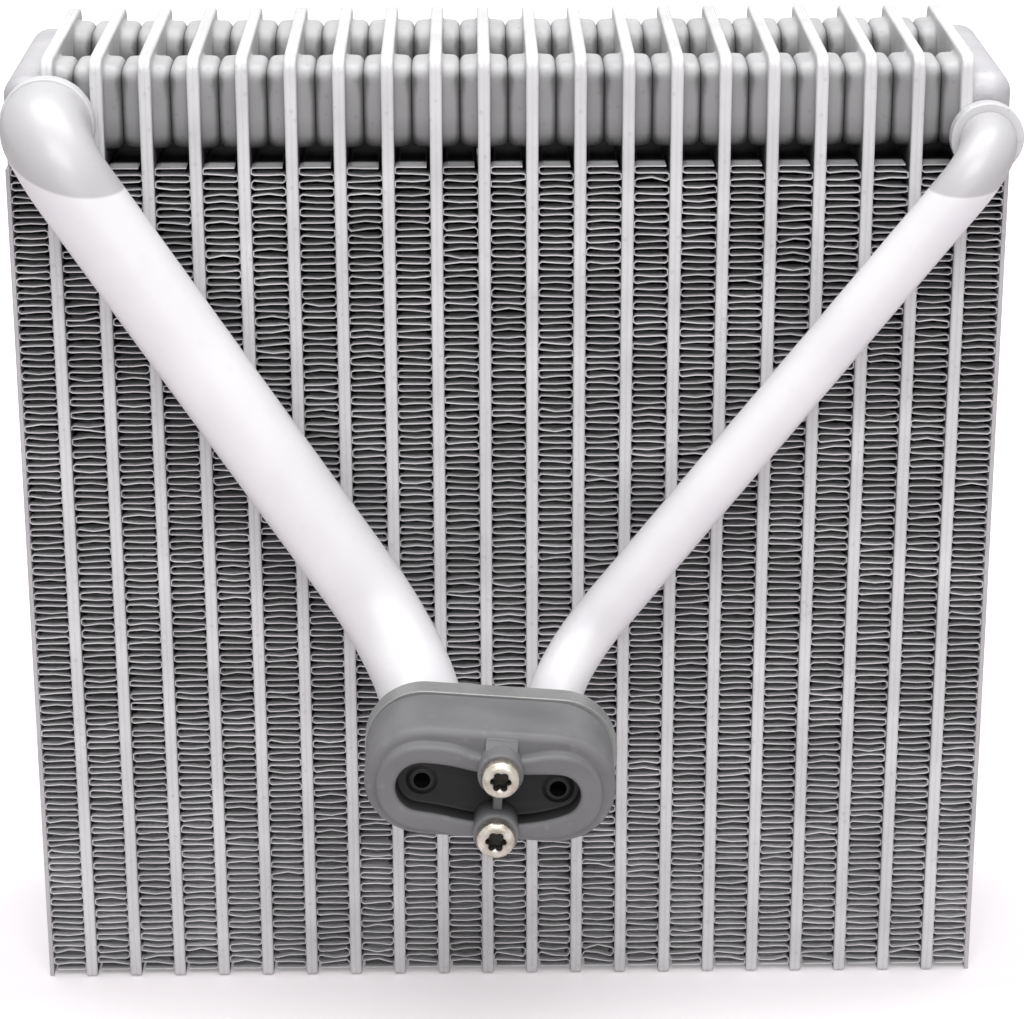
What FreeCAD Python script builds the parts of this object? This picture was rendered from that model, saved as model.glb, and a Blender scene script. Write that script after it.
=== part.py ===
# Evaporator core of a car air conditioner, with its pipes, flange and transport cap.
# Plate pairs stand side by side with corrugated fins between them. Drawn cups at the
# top of each pair meet their neighbours and make a front tank and a rear tank.
# X runs along the row of plates, Y from front to back and Z up. The origin is in
# the middle of the row and of the depth, at the level of the plates' lower ends.
import FreeCAD, Part
import math
import os

import Sketcher
from FreeCAD import Placement, Rotation, Vector

doc = FreeCAD.newDocument("evaporator_core")


# Driving dimensions in millimetres, degrees and counts
sheet = doc.addObject("Spreadsheet::Sheet", "sheet")
sheet.Label = "sizes"

SIZES = [
    # row of plate pairs and fins
    ("plate_pairs", 20),
    ("plate_pitch", 11.2),
    ("pair_thickness", 2.9),
    ("core_depth", 63.0),
    ("plate_height", 237.0),
    ("plate_corner", 3.0),
    # drawn cups that make the two tanks
    ("cup_height", 20.2),
    ("cup_drop", 2.4),
    ("cup_inset", 2.8),
    ("cup_depth", 18.6),
    ("cup_corner", 3.0),
    ("cup_shoulder", 1.5),
    ("cup_draft", 4.0),
    ("cup_crown", 38.0),
    # corrugated fins
    ("fin_bottom", 1.6),
    ("fin_clearance", 3.4),
    ("fin_inset", 1.4),
    ("fin_folds", 34),
    ("fin_gauge", 0.35),
    # side plates and end tanks
    ("side_gauge", 1.05),
    ("side_inset", 1.0),
    ("end_tank_inset", 0.8),
    ("end_tank_drop", 4.6),
    ("end_tank_corner", 5.0),
    # port collars
    ("collar_length", 4.2),
    ("collar_wall", 1.1),
    ("suction_bead", 0.3),
    ("liquid_bead", 0.95),
    ("suction_spigot", 17.0),
    ("liquid_spigot", 9.0),
    ("braze_gap", 0.05),
    # pipes, whose x is measured outward from the middle of the end pair
    ("suction_diameter", 19.05),
    ("liquid_diameter", 12.7),
    ("pipe_wall", 1.2),
    ("suction_x", 0.0),
    ("suction_drop", 14.6),
    ("liquid_x", 4.6),
    ("liquid_drop", 18.8),
    ("suction_run", 18.0),
    ("liquid_run", 16.0),
    ("suction_top_bend", 14.0),
    ("liquid_top_bend", 11.8),
    ("suction_low_bend", 28.0),
    ("liquid_low_bend", 20.0),
    # connection flange
    ("port_spacing", 30.4),
    ("port_x", -5.35),
    ("port_z", 90.5),
    ("port_tilt", 4.4),
    ("flange_stand", 56.0),
    ("flange_thickness", 6.0),
    ("flange_radius", 13.6),
    ("flange_shift", 0.4),
    ("tail_length", 13.5),
    # transport cap
    ("cap_radius", 13.1),
    ("cap_depth", 20.0),
    ("cap_round", 1.8),
    ("rim_height", 3.0),
    ("rim_radius", 10.2),
    ("recess_radius", 5.2),
    ("recess_floor", 2.0),
    ("rim_waist", 8.0),
    ("recess_waist", 4.3),
    ("recess_sag", 7.6),
    ("rim_sag", 11.2),
    ("waist_half", 5.2),
    ("socket_depth", 15.0),
    ("seal_section", 1.5),
    ("seal_clearance", 0.05),
    ("seal_place", 7.0),
    ("vent_diameter", 3.8),
    ("vent_ring", 6.0),
    ("vent_ring_height", 0.7),
    # screws and their bosses
    ("screw_x", 1.85),
    ("screw_upper", 5.7),
    ("screw_lower", -8.8),
    ("screw_diameter", 5.0),
    ("screw_clearance", 0.25),
    ("thread_clearance", 0.05),
    ("screw_length", 32.0),
    ("boss_diameter", 10.2),
    ("boss_height", 6.2),
    ("web_thickness", 2.0),
    ("saddle_width", 7.3),
    ("saddle_drop", 1.2),
    ("saddle_height", 3.6),
    ("head_diameter", 8.6),
    ("head_height", 3.4),
    ("key_size", 4.2),
    ("key_depth", 2.6),
]

for row, (alias, value) in enumerate(SIZES, start=1):
    sheet.set("A%d" % row, alias)
    sheet.set("B%d" % row, str(value))
    sheet.setAlias("B%d" % row, alias)
doc.recompute()


def size(alias):
    """Value of one cell of the sheet."""
    return float(getattr(sheet, alias))


# Formulas that several pieces share
FRONT = "(-sheet.core_depth / 2)"
CUP_TOP = "(sheet.plate_height - sheet.cup_drop)"
CUP_BOTTOM = "(%s - sheet.cup_height)" % CUP_TOP
FIN_TOP = "(%s - sheet.fin_clearance)" % CUP_BOTTOM
CUP_DRAW = "((sheet.plate_pitch - sheet.pair_thickness) / 2)"
ROW_HALF = "((sheet.plate_pairs + 1) * sheet.plate_pitch / 2 - sheet.pair_thickness / 2)"
FLANGE_FRONT = "(%s - sheet.flange_stand - sheet.flange_thickness)" % FRONT
COLLAR_X = {
    "suction": "-((sheet.plate_pairs - 1) * sheet.plate_pitch / 2 + sheet.suction_x)",
    "liquid": "((sheet.plate_pairs - 1) * sheet.plate_pitch / 2 + sheet.liquid_x)",
}


def bind(thing, **formulas):
    """Ties properties of an object to formulas on the sheet's cells."""
    for name, formula in formulas.items():
        thing.setExpression(name.replace("__", "."), formula)


def place(thing, x="0", y="0", z="0"):
    """Ties the position of an object to formulas."""
    thing.setExpression("Placement.Base.x", x)
    thing.setExpression("Placement.Base.y", y)
    thing.setExpression("Placement.Base.z", z)


def new_body(label):
    """Empty body whose label names the piece."""
    body = doc.addObject("PartDesign::Body", "body_" + label)
    body.Label = label
    return body


def new_sketch(body, name, role):
    """Sketch on one of the body's own origin planes."""
    sketch = body.newObject("Sketcher::SketchObject", name)
    plane = [f for f in body.Origin.OriginFeatures if f.Role == role][0]
    sketch.AttachmentSupport = (plane, [""])
    sketch.MapMode = "FlatFace"
    return sketch


def bind_point(sketch, geometry, point, name, x, y):
    """Ties the place of one point of a sketch, measured from the sketch's origin."""
    spot = sketch.getPoint(geometry, point)
    for axis, formula, now in (("X", x, spot.x), ("Y", y, spot.y)):
        index = sketch.addConstraint(
            Sketcher.Constraint("Distance" + axis, -1, 1, geometry, point, now))
        sketch.renameConstraint(index, name + axis)
        sketch.setExpression("Constraints." + name + axis, formula)


def draw_polygon(sketch, prefix, guess, corners):
    """Closed polygon. Each corner is a pair of formulas, and guess holds rough values."""
    first = sketch.GeometryCount
    count = len(corners)
    for k in range(count):
        start = Vector(guess[k][0], guess[k][1], 0)
        end = Vector(guess[(k + 1) % count][0], guess[(k + 1) % count][1], 0)
        sketch.addGeometry(Part.LineSegment(start, end), False)
    for k in range(count):
        after = first + (k + 1) % count
        sketch.addConstraint(Sketcher.Constraint("Coincident", first + k, 2, after, 1))
    for k, (x, y) in enumerate(corners):
        bind_point(sketch, first + k, 1, "%s%d" % (prefix, k), x, y)


def draw_circle(sketch, name, x, y, diameter):
    """Circle tied to formulas for its centre and its diameter."""
    circle = Part.Circle(Vector(1, 1, 0), Vector(0, 0, 1), 2.0)
    index = sketch.addGeometry(circle, False)
    mark = sketch.addConstraint(Sketcher.Constraint("Diameter", index, 4.0))
    bind_point(sketch, index, 3, name, x, y)
    sketch.renameConstraint(mark, name + "Size")
    sketch.setExpression("Constraints." + name + "Size", diameter)


def draw_slot(sketch, half, radius, half_formula, radius_formula, shift="0"):
    """Long round-ended outline with its ends left and right, moved right by shift."""
    normal = Vector(0, 0, 1)
    left = Part.Circle(Vector(-half, 0, 0), normal, radius)
    right = Part.Circle(Vector(half, 0, 0), normal, radius)
    sketch.addGeometry(Part.ArcOfCircle(left, math.pi / 2, 3 * math.pi / 2), False)
    sketch.addGeometry(Part.ArcOfCircle(right, -math.pi / 2, math.pi / 2), False)
    top = Part.LineSegment(Vector(-half, radius, 0), Vector(half, radius, 0))
    bottom = Part.LineSegment(Vector(-half, -radius, 0), Vector(half, -radius, 0))
    sketch.addGeometry(top, False)
    sketch.addGeometry(bottom, False)
    for a, pa, b, pb in ((0, 1, 2, 1), (0, 2, 3, 1), (1, 1, 3, 2), (1, 2, 2, 2)):
        sketch.addConstraint(Sketcher.Constraint("Coincident", a, pa, b, pb))
    for arc in (0, 1):
        sketch.addConstraint(Sketcher.Constraint("Vertical", arc, 3, arc, 1))
        sketch.addConstraint(Sketcher.Constraint("Vertical", arc, 3, arc, 2))
    bind_point(sketch, 0, 3, "left", "%s - %s" % (shift, half_formula), "0")
    bind_point(sketch, 1, 3, "right", "%s + %s" % (shift, half_formula), "0")
    mark = sketch.addConstraint(Sketcher.Constraint("Radius", 0, radius))
    sketch.renameConstraint(mark, "radius")
    sketch.setExpression("Constraints.radius", radius_formula)


def draw_waisted(sketch, radius, waist, sag, names):
    """Outline with two round lobes at the ports, drawn in above and hanging below."""
    half = size("port_spacing") / 2
    near = size("waist_half")
    lean = math.radians(8)
    left = Part.Circle(Vector(-half, 0, 0), Vector(0, 0, 1), radius)
    right = Part.Circle(Vector(half, 0, 0), Vector(0, 0, 1), radius)
    sketch.addGeometry(Part.ArcOfCircle(left, math.pi / 2 - lean, 3 * math.pi / 2 - lean), False)
    sketch.addGeometry(Part.ArcOfCircle(right, -math.pi / 2 + lean, math.pi / 2 + lean), False)
    shift = radius * math.sin(lean)
    rise = radius * math.cos(lean)
    mid = size("screw_x")
    chain = [
        (-half + shift, rise), (mid - near, waist), (mid + near, waist), (half - shift, rise),
    ]
    under = [
        (-half - shift, -rise), (mid - near, -sag), (mid + near, -sag), (half + shift, -rise),
    ]
    for points in (chain, under):
        for a, b in zip(points[:-1], points[1:]):
            sketch.addGeometry(Part.LineSegment(Vector(a[0], a[1], 0), Vector(b[0], b[1], 0)))
    joins = (
        (0, 1, 2, 1), (2, 2, 3, 1), (3, 2, 4, 1), (4, 2, 1, 2),
        (0, 2, 5, 1), (5, 2, 6, 1), (6, 2, 7, 1), (7, 2, 1, 1),
    )
    for a, pa, b, pb in joins:
        sketch.addConstraint(Sketcher.Constraint("Coincident", a, pa, b, pb))
    spacing = "sheet.port_spacing / 2"
    bind_point(sketch, 0, 3, "left", "-" + spacing, "0")
    bind_point(sketch, 1, 3, "right", spacing, "0")
    middle = "sheet.screw_x"
    reach = "sheet.waist_half"
    bind_point(sketch, 3, 1, "upperA", "%s - %s" % (middle, reach), names["waist"])
    bind_point(sketch, 4, 1, "upperB", "%s + %s" % (middle, reach), names["waist"])
    bind_point(sketch, 6, 1, "lowerA", "%s - %s" % (middle, reach), "-" + names["sag"])
    bind_point(sketch, 7, 1, "lowerB", "%s + %s" % (middle, reach), "-" + names["sag"])
    ends = (
        (0, 1, "endA", "-{s} + {r} * sin(8)"), (1, 2, "endB", "{s} - {r} * sin(8)"),
        (0, 2, "endC", "-{s} - {r} * sin(8)"), (1, 1, "endD", "{s} + {r} * sin(8)"),
    )
    for arc, point, name, formula in ends:
        now = sketch.getPoint(arc, point).x
        index = sketch.addConstraint(Sketcher.Constraint("DistanceX", -1, 1, arc, point, now))
        sketch.renameConstraint(index, name)
        text = formula.format(s=spacing, r=names["radius"])
        sketch.setExpression("Constraints." + name, text)
    for arc, name in ((0, "sizeA"), (1, "sizeB")):
        mark = sketch.addConstraint(Sketcher.Constraint("Radius", arc, radius))
        sketch.renameConstraint(mark, name)
        sketch.setExpression("Constraints." + name, names["radius"])


def add_pad(body, sketch, name, length, **settings):
    """Pad of a sketch, with its length tied to a formula."""
    pad = body.newObject("PartDesign::Pad", name)
    pad.Profile = sketch
    pad.setExpression("Length", length)
    for key, value in settings.items():
        setattr(pad, key, value)
    return pad


def add_pocket(body, sketch, name, length, **settings):
    """Pocket of a sketch, with its depth tied to a formula."""
    pocket = body.newObject("PartDesign::Pocket", name)
    pocket.Profile = sketch
    pocket.setExpression("Length", length)
    for key, value in settings.items():
        setattr(pocket, key, value)
    return pocket


def lift(sketch, formula):
    """Moves a sketch along the normal of its plane."""
    sketch.setExpression("AttachmentOffset.Base.z", formula)


pieces = []


def keep(thing, label):
    """Marks an object as one piece of the part and gives it the piece's name."""
    thing.Label = label
    pieces.append(thing)
    return thing


# Plate pair: two pressed plates brazed face to face, with drawn cups that stand out on
# both sides, or on one side only where the pair ends the row
def make_plate_pair(label, both_sides):
    body = new_body(label)
    outline = new_sketch(body, "pair_outline", "YZ_Plane")
    half = "sheet.core_depth / 2"
    cut = "sheet.plate_corner"
    tall = "sheet.plate_height"
    guess = [(-31, 0), (31, 0), (31, 234), (28, 237), (-28, 237), (-31, 234)]
    corners = [
        ("-%s" % half, "0"), (half, "0"),
        (half, "%s - %s" % (tall, cut)), ("%s - %s" % (half, cut), tall),
        ("-%s + %s" % (half, cut), tall), ("-%s" % half, "%s - %s" % (tall, cut)),
    ]
    draw_polygon(outline, "p", guess, corners)
    add_pad(body, outline, "pair_sheet", "sheet.pair_thickness", Midplane=True)

    wall = new_sketch(body, "cup_walls", "YZ_Plane")
    draw_cups(wall, "0")
    lift(wall, "sheet.pair_thickness / 2")
    straight = add_pad(body, wall, "cup_wall", "%s - sheet.cup_shoulder" % CUP_DRAW)
    straight.setExpression("TaperAngle", "-sheet.cup_draft")

    crown = new_sketch(body, "cup_crowns", "YZ_Plane")
    draw_cups(crown, "(%s - sheet.cup_shoulder) * tan(sheet.cup_draft)" % CUP_DRAW)
    lift(crown, "sheet.pair_thickness / 2 + %s - sheet.cup_shoulder" % CUP_DRAW)
    shoulder = add_pad(body, crown, "cup_crown", "sheet.cup_shoulder")
    shoulder.setExpression("TaperAngle", "-sheet.cup_crown")

    if both_sides:
        doc.recompute()
        other = body.newObject("PartDesign::Mirrored", "cups_other_side")
        other.Originals = [straight, shoulder]
        plane = [f for f in body.Origin.OriginFeatures if f.Role == "YZ_Plane"][0]
        other.MirrorPlane = (plane, [""])
        body.Tip = other
    return body


def draw_cups(sketch, shrink):
    """Front and rear cup outlines with cut corners, drawn in by shrink."""
    near = "(sheet.core_depth / 2 - sheet.cup_inset - %s)" % shrink
    far = "(sheet.core_depth / 2 - sheet.cup_inset - sheet.cup_depth + %s)" % shrink
    low = "(%s + %s)" % (CUP_BOTTOM, shrink)
    high = "(%s - %s)" % (CUP_TOP, shrink)
    cut = "(sheet.cup_corner - %s * 0.586)" % shrink
    for side, sign in (("f", "-"), ("r", "")):
        a = -1 if sign else 1
        guess = [
            (a * 28, 218), (a * 28, 231), (a * 25, 234), (a * 13, 234),
            (a * 10, 231), (a * 10, 218), (a * 13, 215), (a * 25, 215),
        ]
        corners = [
            (sign + near, "%s + %s" % (low, cut)),
            (sign + near, "%s - %s" % (high, cut)),
            ("%s(%s - %s)" % (sign, near, cut), high),
            ("%s(%s + %s)" % (sign, far, cut), high),
            (sign + far, "%s - %s" % (high, cut)),
            (sign + far, "%s + %s" % (low, cut)),
            ("%s(%s + %s)" % (sign, far, cut), low),
            ("%s(%s - %s)" % (sign, near, cut), low),
        ]
        draw_polygon(sketch, side, guess, corners)


# Fin: one thin strip folded to and fro between two plate pairs, its crests lying
# flat against their faces
def make_fin():
    gauge = size("fin_gauge")
    folds = int(size("fin_folds"))
    half = (size("plate_pitch") - size("pair_thickness")) / 2
    low = size("fin_bottom") + gauge / 2
    high = size("plate_height") - size("cup_drop") - size("cup_height") - size("fin_clearance")
    rise = (high - gauge / 2 - low) / folds
    inset = gauge * half / rise
    front = -size("core_depth") / 2 + size("fin_inset")
    left = []
    right = []
    for k in range(folds + 1):
        level = low + k * rise
        crest = (level - gauge / 2, level + gauge / 2)
        if k % 2:
            left.append(Vector(half - inset, front, level))
            right.extend(Vector(half, front, z) for z in crest)
        else:
            left.extend(Vector(-half, front, z) for z in crest)
            right.append(Vector(inset - half, front, level))
    outline = left + right[::-1]
    strip = Part.Face(Part.makePolygon(outline + outline[:1]))
    depth = size("core_depth") - 2 * size("fin_inset")
    fin = doc.addObject("Part::Feature", "fin_pattern")
    fin.Shape = strip.extrude(Vector(0, depth, 0))
    return fin


# Side plate: flat sheet that closes the row and guards the last fin
def make_side_plate(label, sign):
    body = new_body(label)
    outline = new_sketch(body, label + "_outline", "YZ_Plane")
    half = "(sheet.core_depth / 2 - sheet.side_inset)"
    guess = [(-30, 0), (30, 0), (30, 213), (-30, 213)]
    corners = [
        ("-" + half, "0"), (half, "0"), (half, FIN_TOP), ("-" + half, FIN_TOP),
    ]
    draw_polygon(outline, "p", guess, corners)
    lift(outline, "%s * %s" % (sign, ROW_HALF))
    add_pad(body, outline, label + "_sheet", "sheet.side_gauge", Reversed=(sign < 0))
    return keep(body, label)


# End tank: pressed dome that closes both tanks at one end of the row
def make_end_tank(label, sign):
    body = new_body(label)
    outline = new_sketch(body, label + "_outline", "XZ_Plane")
    inner = "(%s - sheet.plate_pitch + sheet.pair_thickness)" % ROW_HALF
    outer = "(%s + sheet.side_gauge)" % ROW_HALF
    top = "(sheet.plate_height - sheet.end_tank_drop)"
    mark = "-" if sign < 0 else ""
    guess = [(sign * 108, 213.6), (sign * 117, 213.6), (sign * 117, 236), (sign * 108, 236)]
    corners = [
        (mark + inner, FIN_TOP), (mark + outer, FIN_TOP),
        (mark + outer, top), (mark + inner, top),
    ]
    draw_polygon(outline, "p", guess, corners)
    block = add_pad(body, outline, label + "_block",
                    "sheet.core_depth - 2 * sheet.end_tank_inset", Midplane=True)
    doc.recompute()
    far = sign * (size_row_half() + size("side_gauge"))
    high = block.Shape.BoundBox.ZMax
    edges = []
    for number, edge in enumerate(block.Shape.Edges, start=1):
        middle = edge.CenterOfMass
        at_side = abs(middle.x - far) < 0.01
        at_top = abs(middle.z - high) < 0.01
        at_end = abs(abs(middle.y) - (size("core_depth") / 2 - size("end_tank_inset"))) < 0.01
        if (at_side and at_top) or (at_side and at_end) or (at_top and at_end):
            edges.append("Edge%d" % number)
    round_off = body.newObject("PartDesign::Fillet", label + "_round")
    round_off.Base = (block, edges)
    round_off.setExpression("Radius", "sheet.end_tank_corner")
    return body


def size_row_half():
    """Half the length of the row, up to the inner face of a side plate."""
    pitch = size("plate_pitch")
    return (size("plate_pairs") + 1) * pitch / 2 - size("pair_thickness") / 2


# Port collar: turned ring brazed on the tank, which takes the end of a pipe
def make_collar(label, side):
    body = new_body(label)
    outline = new_sketch(body, label + "_section", "XY_Plane")
    bore = "(sheet.%s_diameter / 2 + sheet.braze_gap)" % side
    outer = "(%s + sheet.collar_wall + sheet.%s_bead)" % (bore, side)
    spigot = "sheet.%s_spigot / 2" % side
    passage = "(%s - sheet.collar_wall)" % spigot
    guess = [(5, 3.4), (7, 3.4), (7, 0), (10.6, 0), (10.6, -4.2), (9.5, -4.2), (9.5, -1), (5, -1)]
    corners = [
        (passage, "sheet.cup_inset"), (spigot, "sheet.cup_inset"), (spigot, "0"),
        (outer, "0"), (outer, "-sheet.collar_length"), (bore, "-sheet.collar_length"),
        (bore, "-sheet.collar_wall"), (passage, "-sheet.collar_wall"),
    ]
    draw_polygon(outline, "p", guess, corners)
    turned = body.newObject("PartDesign::Revolution", label + "_turned")
    turned.Profile = outline
    turned.ReferenceAxis = (outline, ["V_Axis"])
    turned.Angle = 360
    place(body, COLLAR_X[side], FRONT, "sheet.plate_height - sheet.%s_drop" % side)
    return keep(body, label)


def seat_spigot(base, label, side):
    """Cuts the seat of a collar's spigot into the piece behind it."""
    hole = doc.addObject("Part::Cylinder", label + "_seat")
    bind(hole, Radius="sheet.%s_spigot / 2" % side, Height="2 * sheet.cup_inset")
    hole.Placement = Placement(Vector(0, 0, 0), Rotation(Vector(1, 0, 0), 90))
    start = "%s + sheet.cup_inset" % FRONT
    place(hole, COLLAR_X[side], start, "sheet.plate_height - sheet.%s_drop" % side)
    cut = doc.addObject("Part::Cut", label + "_seated")
    cut.Base = base
    cut.Tool = hole
    return cut


# Pipes: drawn tube, bent twice, from its collar to the front of the flange
def pipe_route(side, sign):
    """Corner points and bend radii of a pipe's centre line."""
    front = -size("core_depth") / 2
    tilt = math.radians(size("port_tilt"))
    half = sign * size("port_spacing") / 2
    low_x = size("port_x") + half * math.cos(tilt)
    low_z = size("port_z") - half * math.sin(tilt)
    end_pair_x = (size("plate_pairs") - 1) * size("plate_pitch") / 2
    top_x = sign * (end_pair_x + size(side + "_x"))
    top_z = size("plate_height") - size(side + "_drop")
    plane = front - size(side + "_run")
    tip = front - size("flange_stand") - size("flange_thickness") - size("tail_length")
    points = [
        Vector(top_x, front - size("collar_wall"), top_z), Vector(top_x, plane, top_z),
        Vector(low_x, plane, low_z), Vector(low_x, tip, low_z),
    ]
    return points, [size(side + "_top_bend"), size(side + "_low_bend")]


def route_wire(points, radii):
    """Straight runs through the points, joined by tangent arcs."""
    edges = []
    start = points[0]
    for k, radius in enumerate(radii, start=1):
        back = (points[k - 1] - points[k]).normalize()
        ahead = (points[k + 1] - points[k]).normalize()
        half_turn = back.getAngle(ahead) / 2
        reach = radius / math.tan(half_turn)
        inward = (back + ahead).normalize()
        centre = points[k] + inward * (radius / math.sin(half_turn))
        first = points[k] + back * reach
        last = points[k] + ahead * reach
        middle = centre - inward * radius
        edges.append(Part.LineSegment(start, first).toShape())
        edges.append(Part.Arc(first, middle, last).toShape())
        start = last
    edges.append(Part.LineSegment(start, points[-1]).toShape())
    return Part.Wire(edges)


def sweep_round(spine, name, radius_formula, start):
    """Round bar along a centre line that starts at right angles to Y."""
    ring = doc.addObject("Part::Circle", name + "_ring")
    ring.setExpression("Radius", radius_formula)
    ring.Placement = Placement(start, Rotation(Vector(1, 0, 0), 90))
    sweep = doc.addObject("Part::Sweep", name)
    sweep.Sections = [ring]
    names = ["Edge%d" % (k + 1) for k in range(len(spine.Shape.Edges))]
    sweep.Spine = (spine, names)
    sweep.Solid = True
    sweep.Frenet = False
    return sweep


def make_pipe(label, side, sign):
    points, radii = pipe_route(side, sign)
    spine = doc.addObject("Part::Feature", side + "_route")
    spine.Shape = route_wire(points, radii)
    outer = sweep_round(spine, side + "_outside", "sheet.%s_diameter / 2" % side, points[0])
    inside = "sheet.%s_diameter / 2 - sheet.pipe_wall" % side
    inner = sweep_round(spine, side + "_inside", inside, points[0])
    pipe = doc.addObject("Part::Cut", side + "_tube")
    pipe.Base = outer
    pipe.Tool = inner
    return keep(pipe, label)


# Pieces on the flange share one frame: its origin lies between the two ports, on the
# front face of the flange, turned with the ports about the Y axis
def place_on_flange(thing, y="0"):
    thing.Placement = Placement(Vector(0, 0, 0), Rotation(Vector(0, 1, 0), size("port_tilt")))
    thing.setExpression("Placement.Rotation.Angle", "sheet.port_tilt")
    place(thing, "sheet.port_x", "%s + (%s)" % (FLANGE_FRONT, y), "sheet.port_z")


PORTS = (("suction", "-sheet.port_spacing / 2"), ("liquid", "sheet.port_spacing / 2"))
SCREWS = (("upper", "sheet.screw_upper"), ("lower", "sheet.screw_lower"))


def make_flange():
    body = new_body("connection_flange")
    outline = new_sketch(body, "flange_outline", "XZ_Plane")
    half = size("port_spacing") / 2
    draw_slot(outline, half, size("flange_radius"), "sheet.port_spacing / 2",
              "sheet.flange_radius", "sheet.flange_shift")
    add_pad(body, outline, "flange_block", "sheet.flange_thickness", Reversed=True)

    ports = new_sketch(body, "flange_ports", "XZ_Plane")
    for side, x in PORTS:
        draw_circle(ports, side, x, "0", "sheet.%s_diameter + 2 * sheet.braze_gap" % side)
    add_pocket(body, ports, "flange_bores", "2 * sheet.flange_thickness", Midplane=True)

    taps = new_sketch(body, "flange_taps", "XZ_Plane")
    for name, z in SCREWS:
        width = "sheet.screw_diameter + 2 * sheet.thread_clearance"
        draw_circle(taps, name, "sheet.screw_x", z, width)
    add_pocket(body, taps, "flange_tapped_holes", "2 * sheet.flange_thickness", Midplane=True)
    place_on_flange(body)
    return keep(body, "connection_flange")


# Transport cap: moulded cover over the pipe ends, held by two screws
def make_cap():
    body = new_body("transport_cap")
    half = size("port_spacing") / 2
    outline = new_sketch(body, "cap_outline", "XZ_Plane")
    draw_slot(outline, half, size("cap_radius"), "sheet.port_spacing / 2", "sheet.cap_radius")
    block = add_pad(body, outline, "cap_block", "sheet.cap_depth")
    doc.recompute()
    front = [
        "Edge%d" % (k + 1) for k, edge in enumerate(block.Shape.Edges)
        if abs(edge.BoundBox.YMax + size("cap_depth")) < 0.01
    ]
    shoulder = body.newObject("PartDesign::Fillet", "cap_shoulder")
    shoulder.Base = (block, front)
    shoulder.setExpression("Radius", "sheet.cap_round")

    rim = new_sketch(body, "cap_rim_outline", "XZ_Plane")
    names = {"radius": "sheet.rim_radius", "waist": "sheet.rim_waist", "sag": "sheet.rim_sag"}
    draw_waisted(rim, size("rim_radius"), size("rim_waist"), size("rim_sag"), names)
    lift(rim, "sheet.cap_depth - sheet.cap_round")
    add_pad(body, rim, "cap_rim", "sheet.rim_height + sheet.cap_round")

    recess = new_sketch(body, "cap_recess_outline", "XZ_Plane")
    names = {
        "radius": "sheet.recess_radius", "waist": "sheet.recess_waist", "sag": "sheet.recess_sag",
    }
    draw_waisted(recess, size("recess_radius"), size("recess_waist"), size("recess_sag"), names)
    lift(recess, "sheet.cap_depth + sheet.rim_height")
    add_pocket(body, recess, "cap_recess", "sheet.rim_height + sheet.recess_floor")

    bosses = new_sketch(body, "cap_boss_outlines", "XZ_Plane")
    for name, z in SCREWS:
        draw_circle(bosses, name, "sheet.screw_x", z, "sheet.boss_diameter")
    add_pad(body, bosses, "cap_bosses", "sheet.cap_depth + sheet.boss_height")

    web = new_sketch(body, "cap_web_outline", "XZ_Plane")
    across = "sheet.web_thickness / 2"
    guess = [(0.8, -8), (2.8, -8), (2.8, 5), (0.8, 5)]
    corners = [
        ("sheet.screw_x - " + across, "sheet.screw_lower"),
        ("sheet.screw_x + " + across, "sheet.screw_lower"),
        ("sheet.screw_x + " + across, "sheet.screw_upper"),
        ("sheet.screw_x - " + across, "sheet.screw_upper"),
    ]
    draw_polygon(web, "w", guess, corners)
    add_pad(body, web, "cap_web", "sheet.cap_depth + sheet.boss_height - sheet.rim_height")

    saddle = new_sketch(body, "cap_saddle_outline", "XZ_Plane")
    across = "sheet.saddle_width / 2"
    top = "sheet.cap_radius - sheet.saddle_drop"
    guess = [(-1.8, 5.7), (5.5, 5.7), (5.5, 11.9), (-1.8, 11.9)]
    corners = [
        ("sheet.screw_x - " + across, "sheet.screw_upper"),
        ("sheet.screw_x + " + across, "sheet.screw_upper"),
        ("sheet.screw_x + " + across, top),
        ("sheet.screw_x - " + across, top),
    ]
    draw_polygon(saddle, "s", guess, corners)
    add_pad(body, saddle, "cap_saddle", "sheet.cap_depth + sheet.saddle_height")

    rings = new_sketch(body, "cap_vent_rings", "XZ_Plane")
    for side, x in PORTS:
        draw_circle(rings, side, x, "0", "sheet.vent_ring")
    height = "sheet.cap_depth - sheet.recess_floor + sheet.vent_ring_height"
    add_pad(body, rings, "cap_vent_collars", height)

    sockets = new_sketch(body, "cap_sockets", "XZ_Plane")
    gap = "2 * (sheet.seal_section + 2 * sheet.seal_clearance)"
    for side, x in PORTS:
        draw_circle(sockets, side, x, "0", "sheet.%s_diameter + %s" % (side, gap))
    add_pocket(body, sockets, "cap_pipe_sockets", "sheet.socket_depth", Reversed=True)

    vents = new_sketch(body, "cap_vents", "XZ_Plane")
    for side, x in PORTS:
        draw_circle(vents, side, x, "0", "sheet.vent_diameter")
    add_pocket(body, vents, "cap_vent_holes", "sheet.cap_depth", Reversed=True)

    holes = new_sketch(body, "cap_screw_holes", "XZ_Plane")
    for name, z in SCREWS:
        width = "sheet.screw_diameter + 2 * sheet.screw_clearance"
        draw_circle(holes, name, "sheet.screw_x", z, width)
    depth = "sheet.cap_depth + sheet.boss_height"
    add_pocket(body, holes, "cap_screw_bores", depth, Reversed=True)
    place_on_flange(body)
    return keep(body, "transport_cap")


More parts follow.
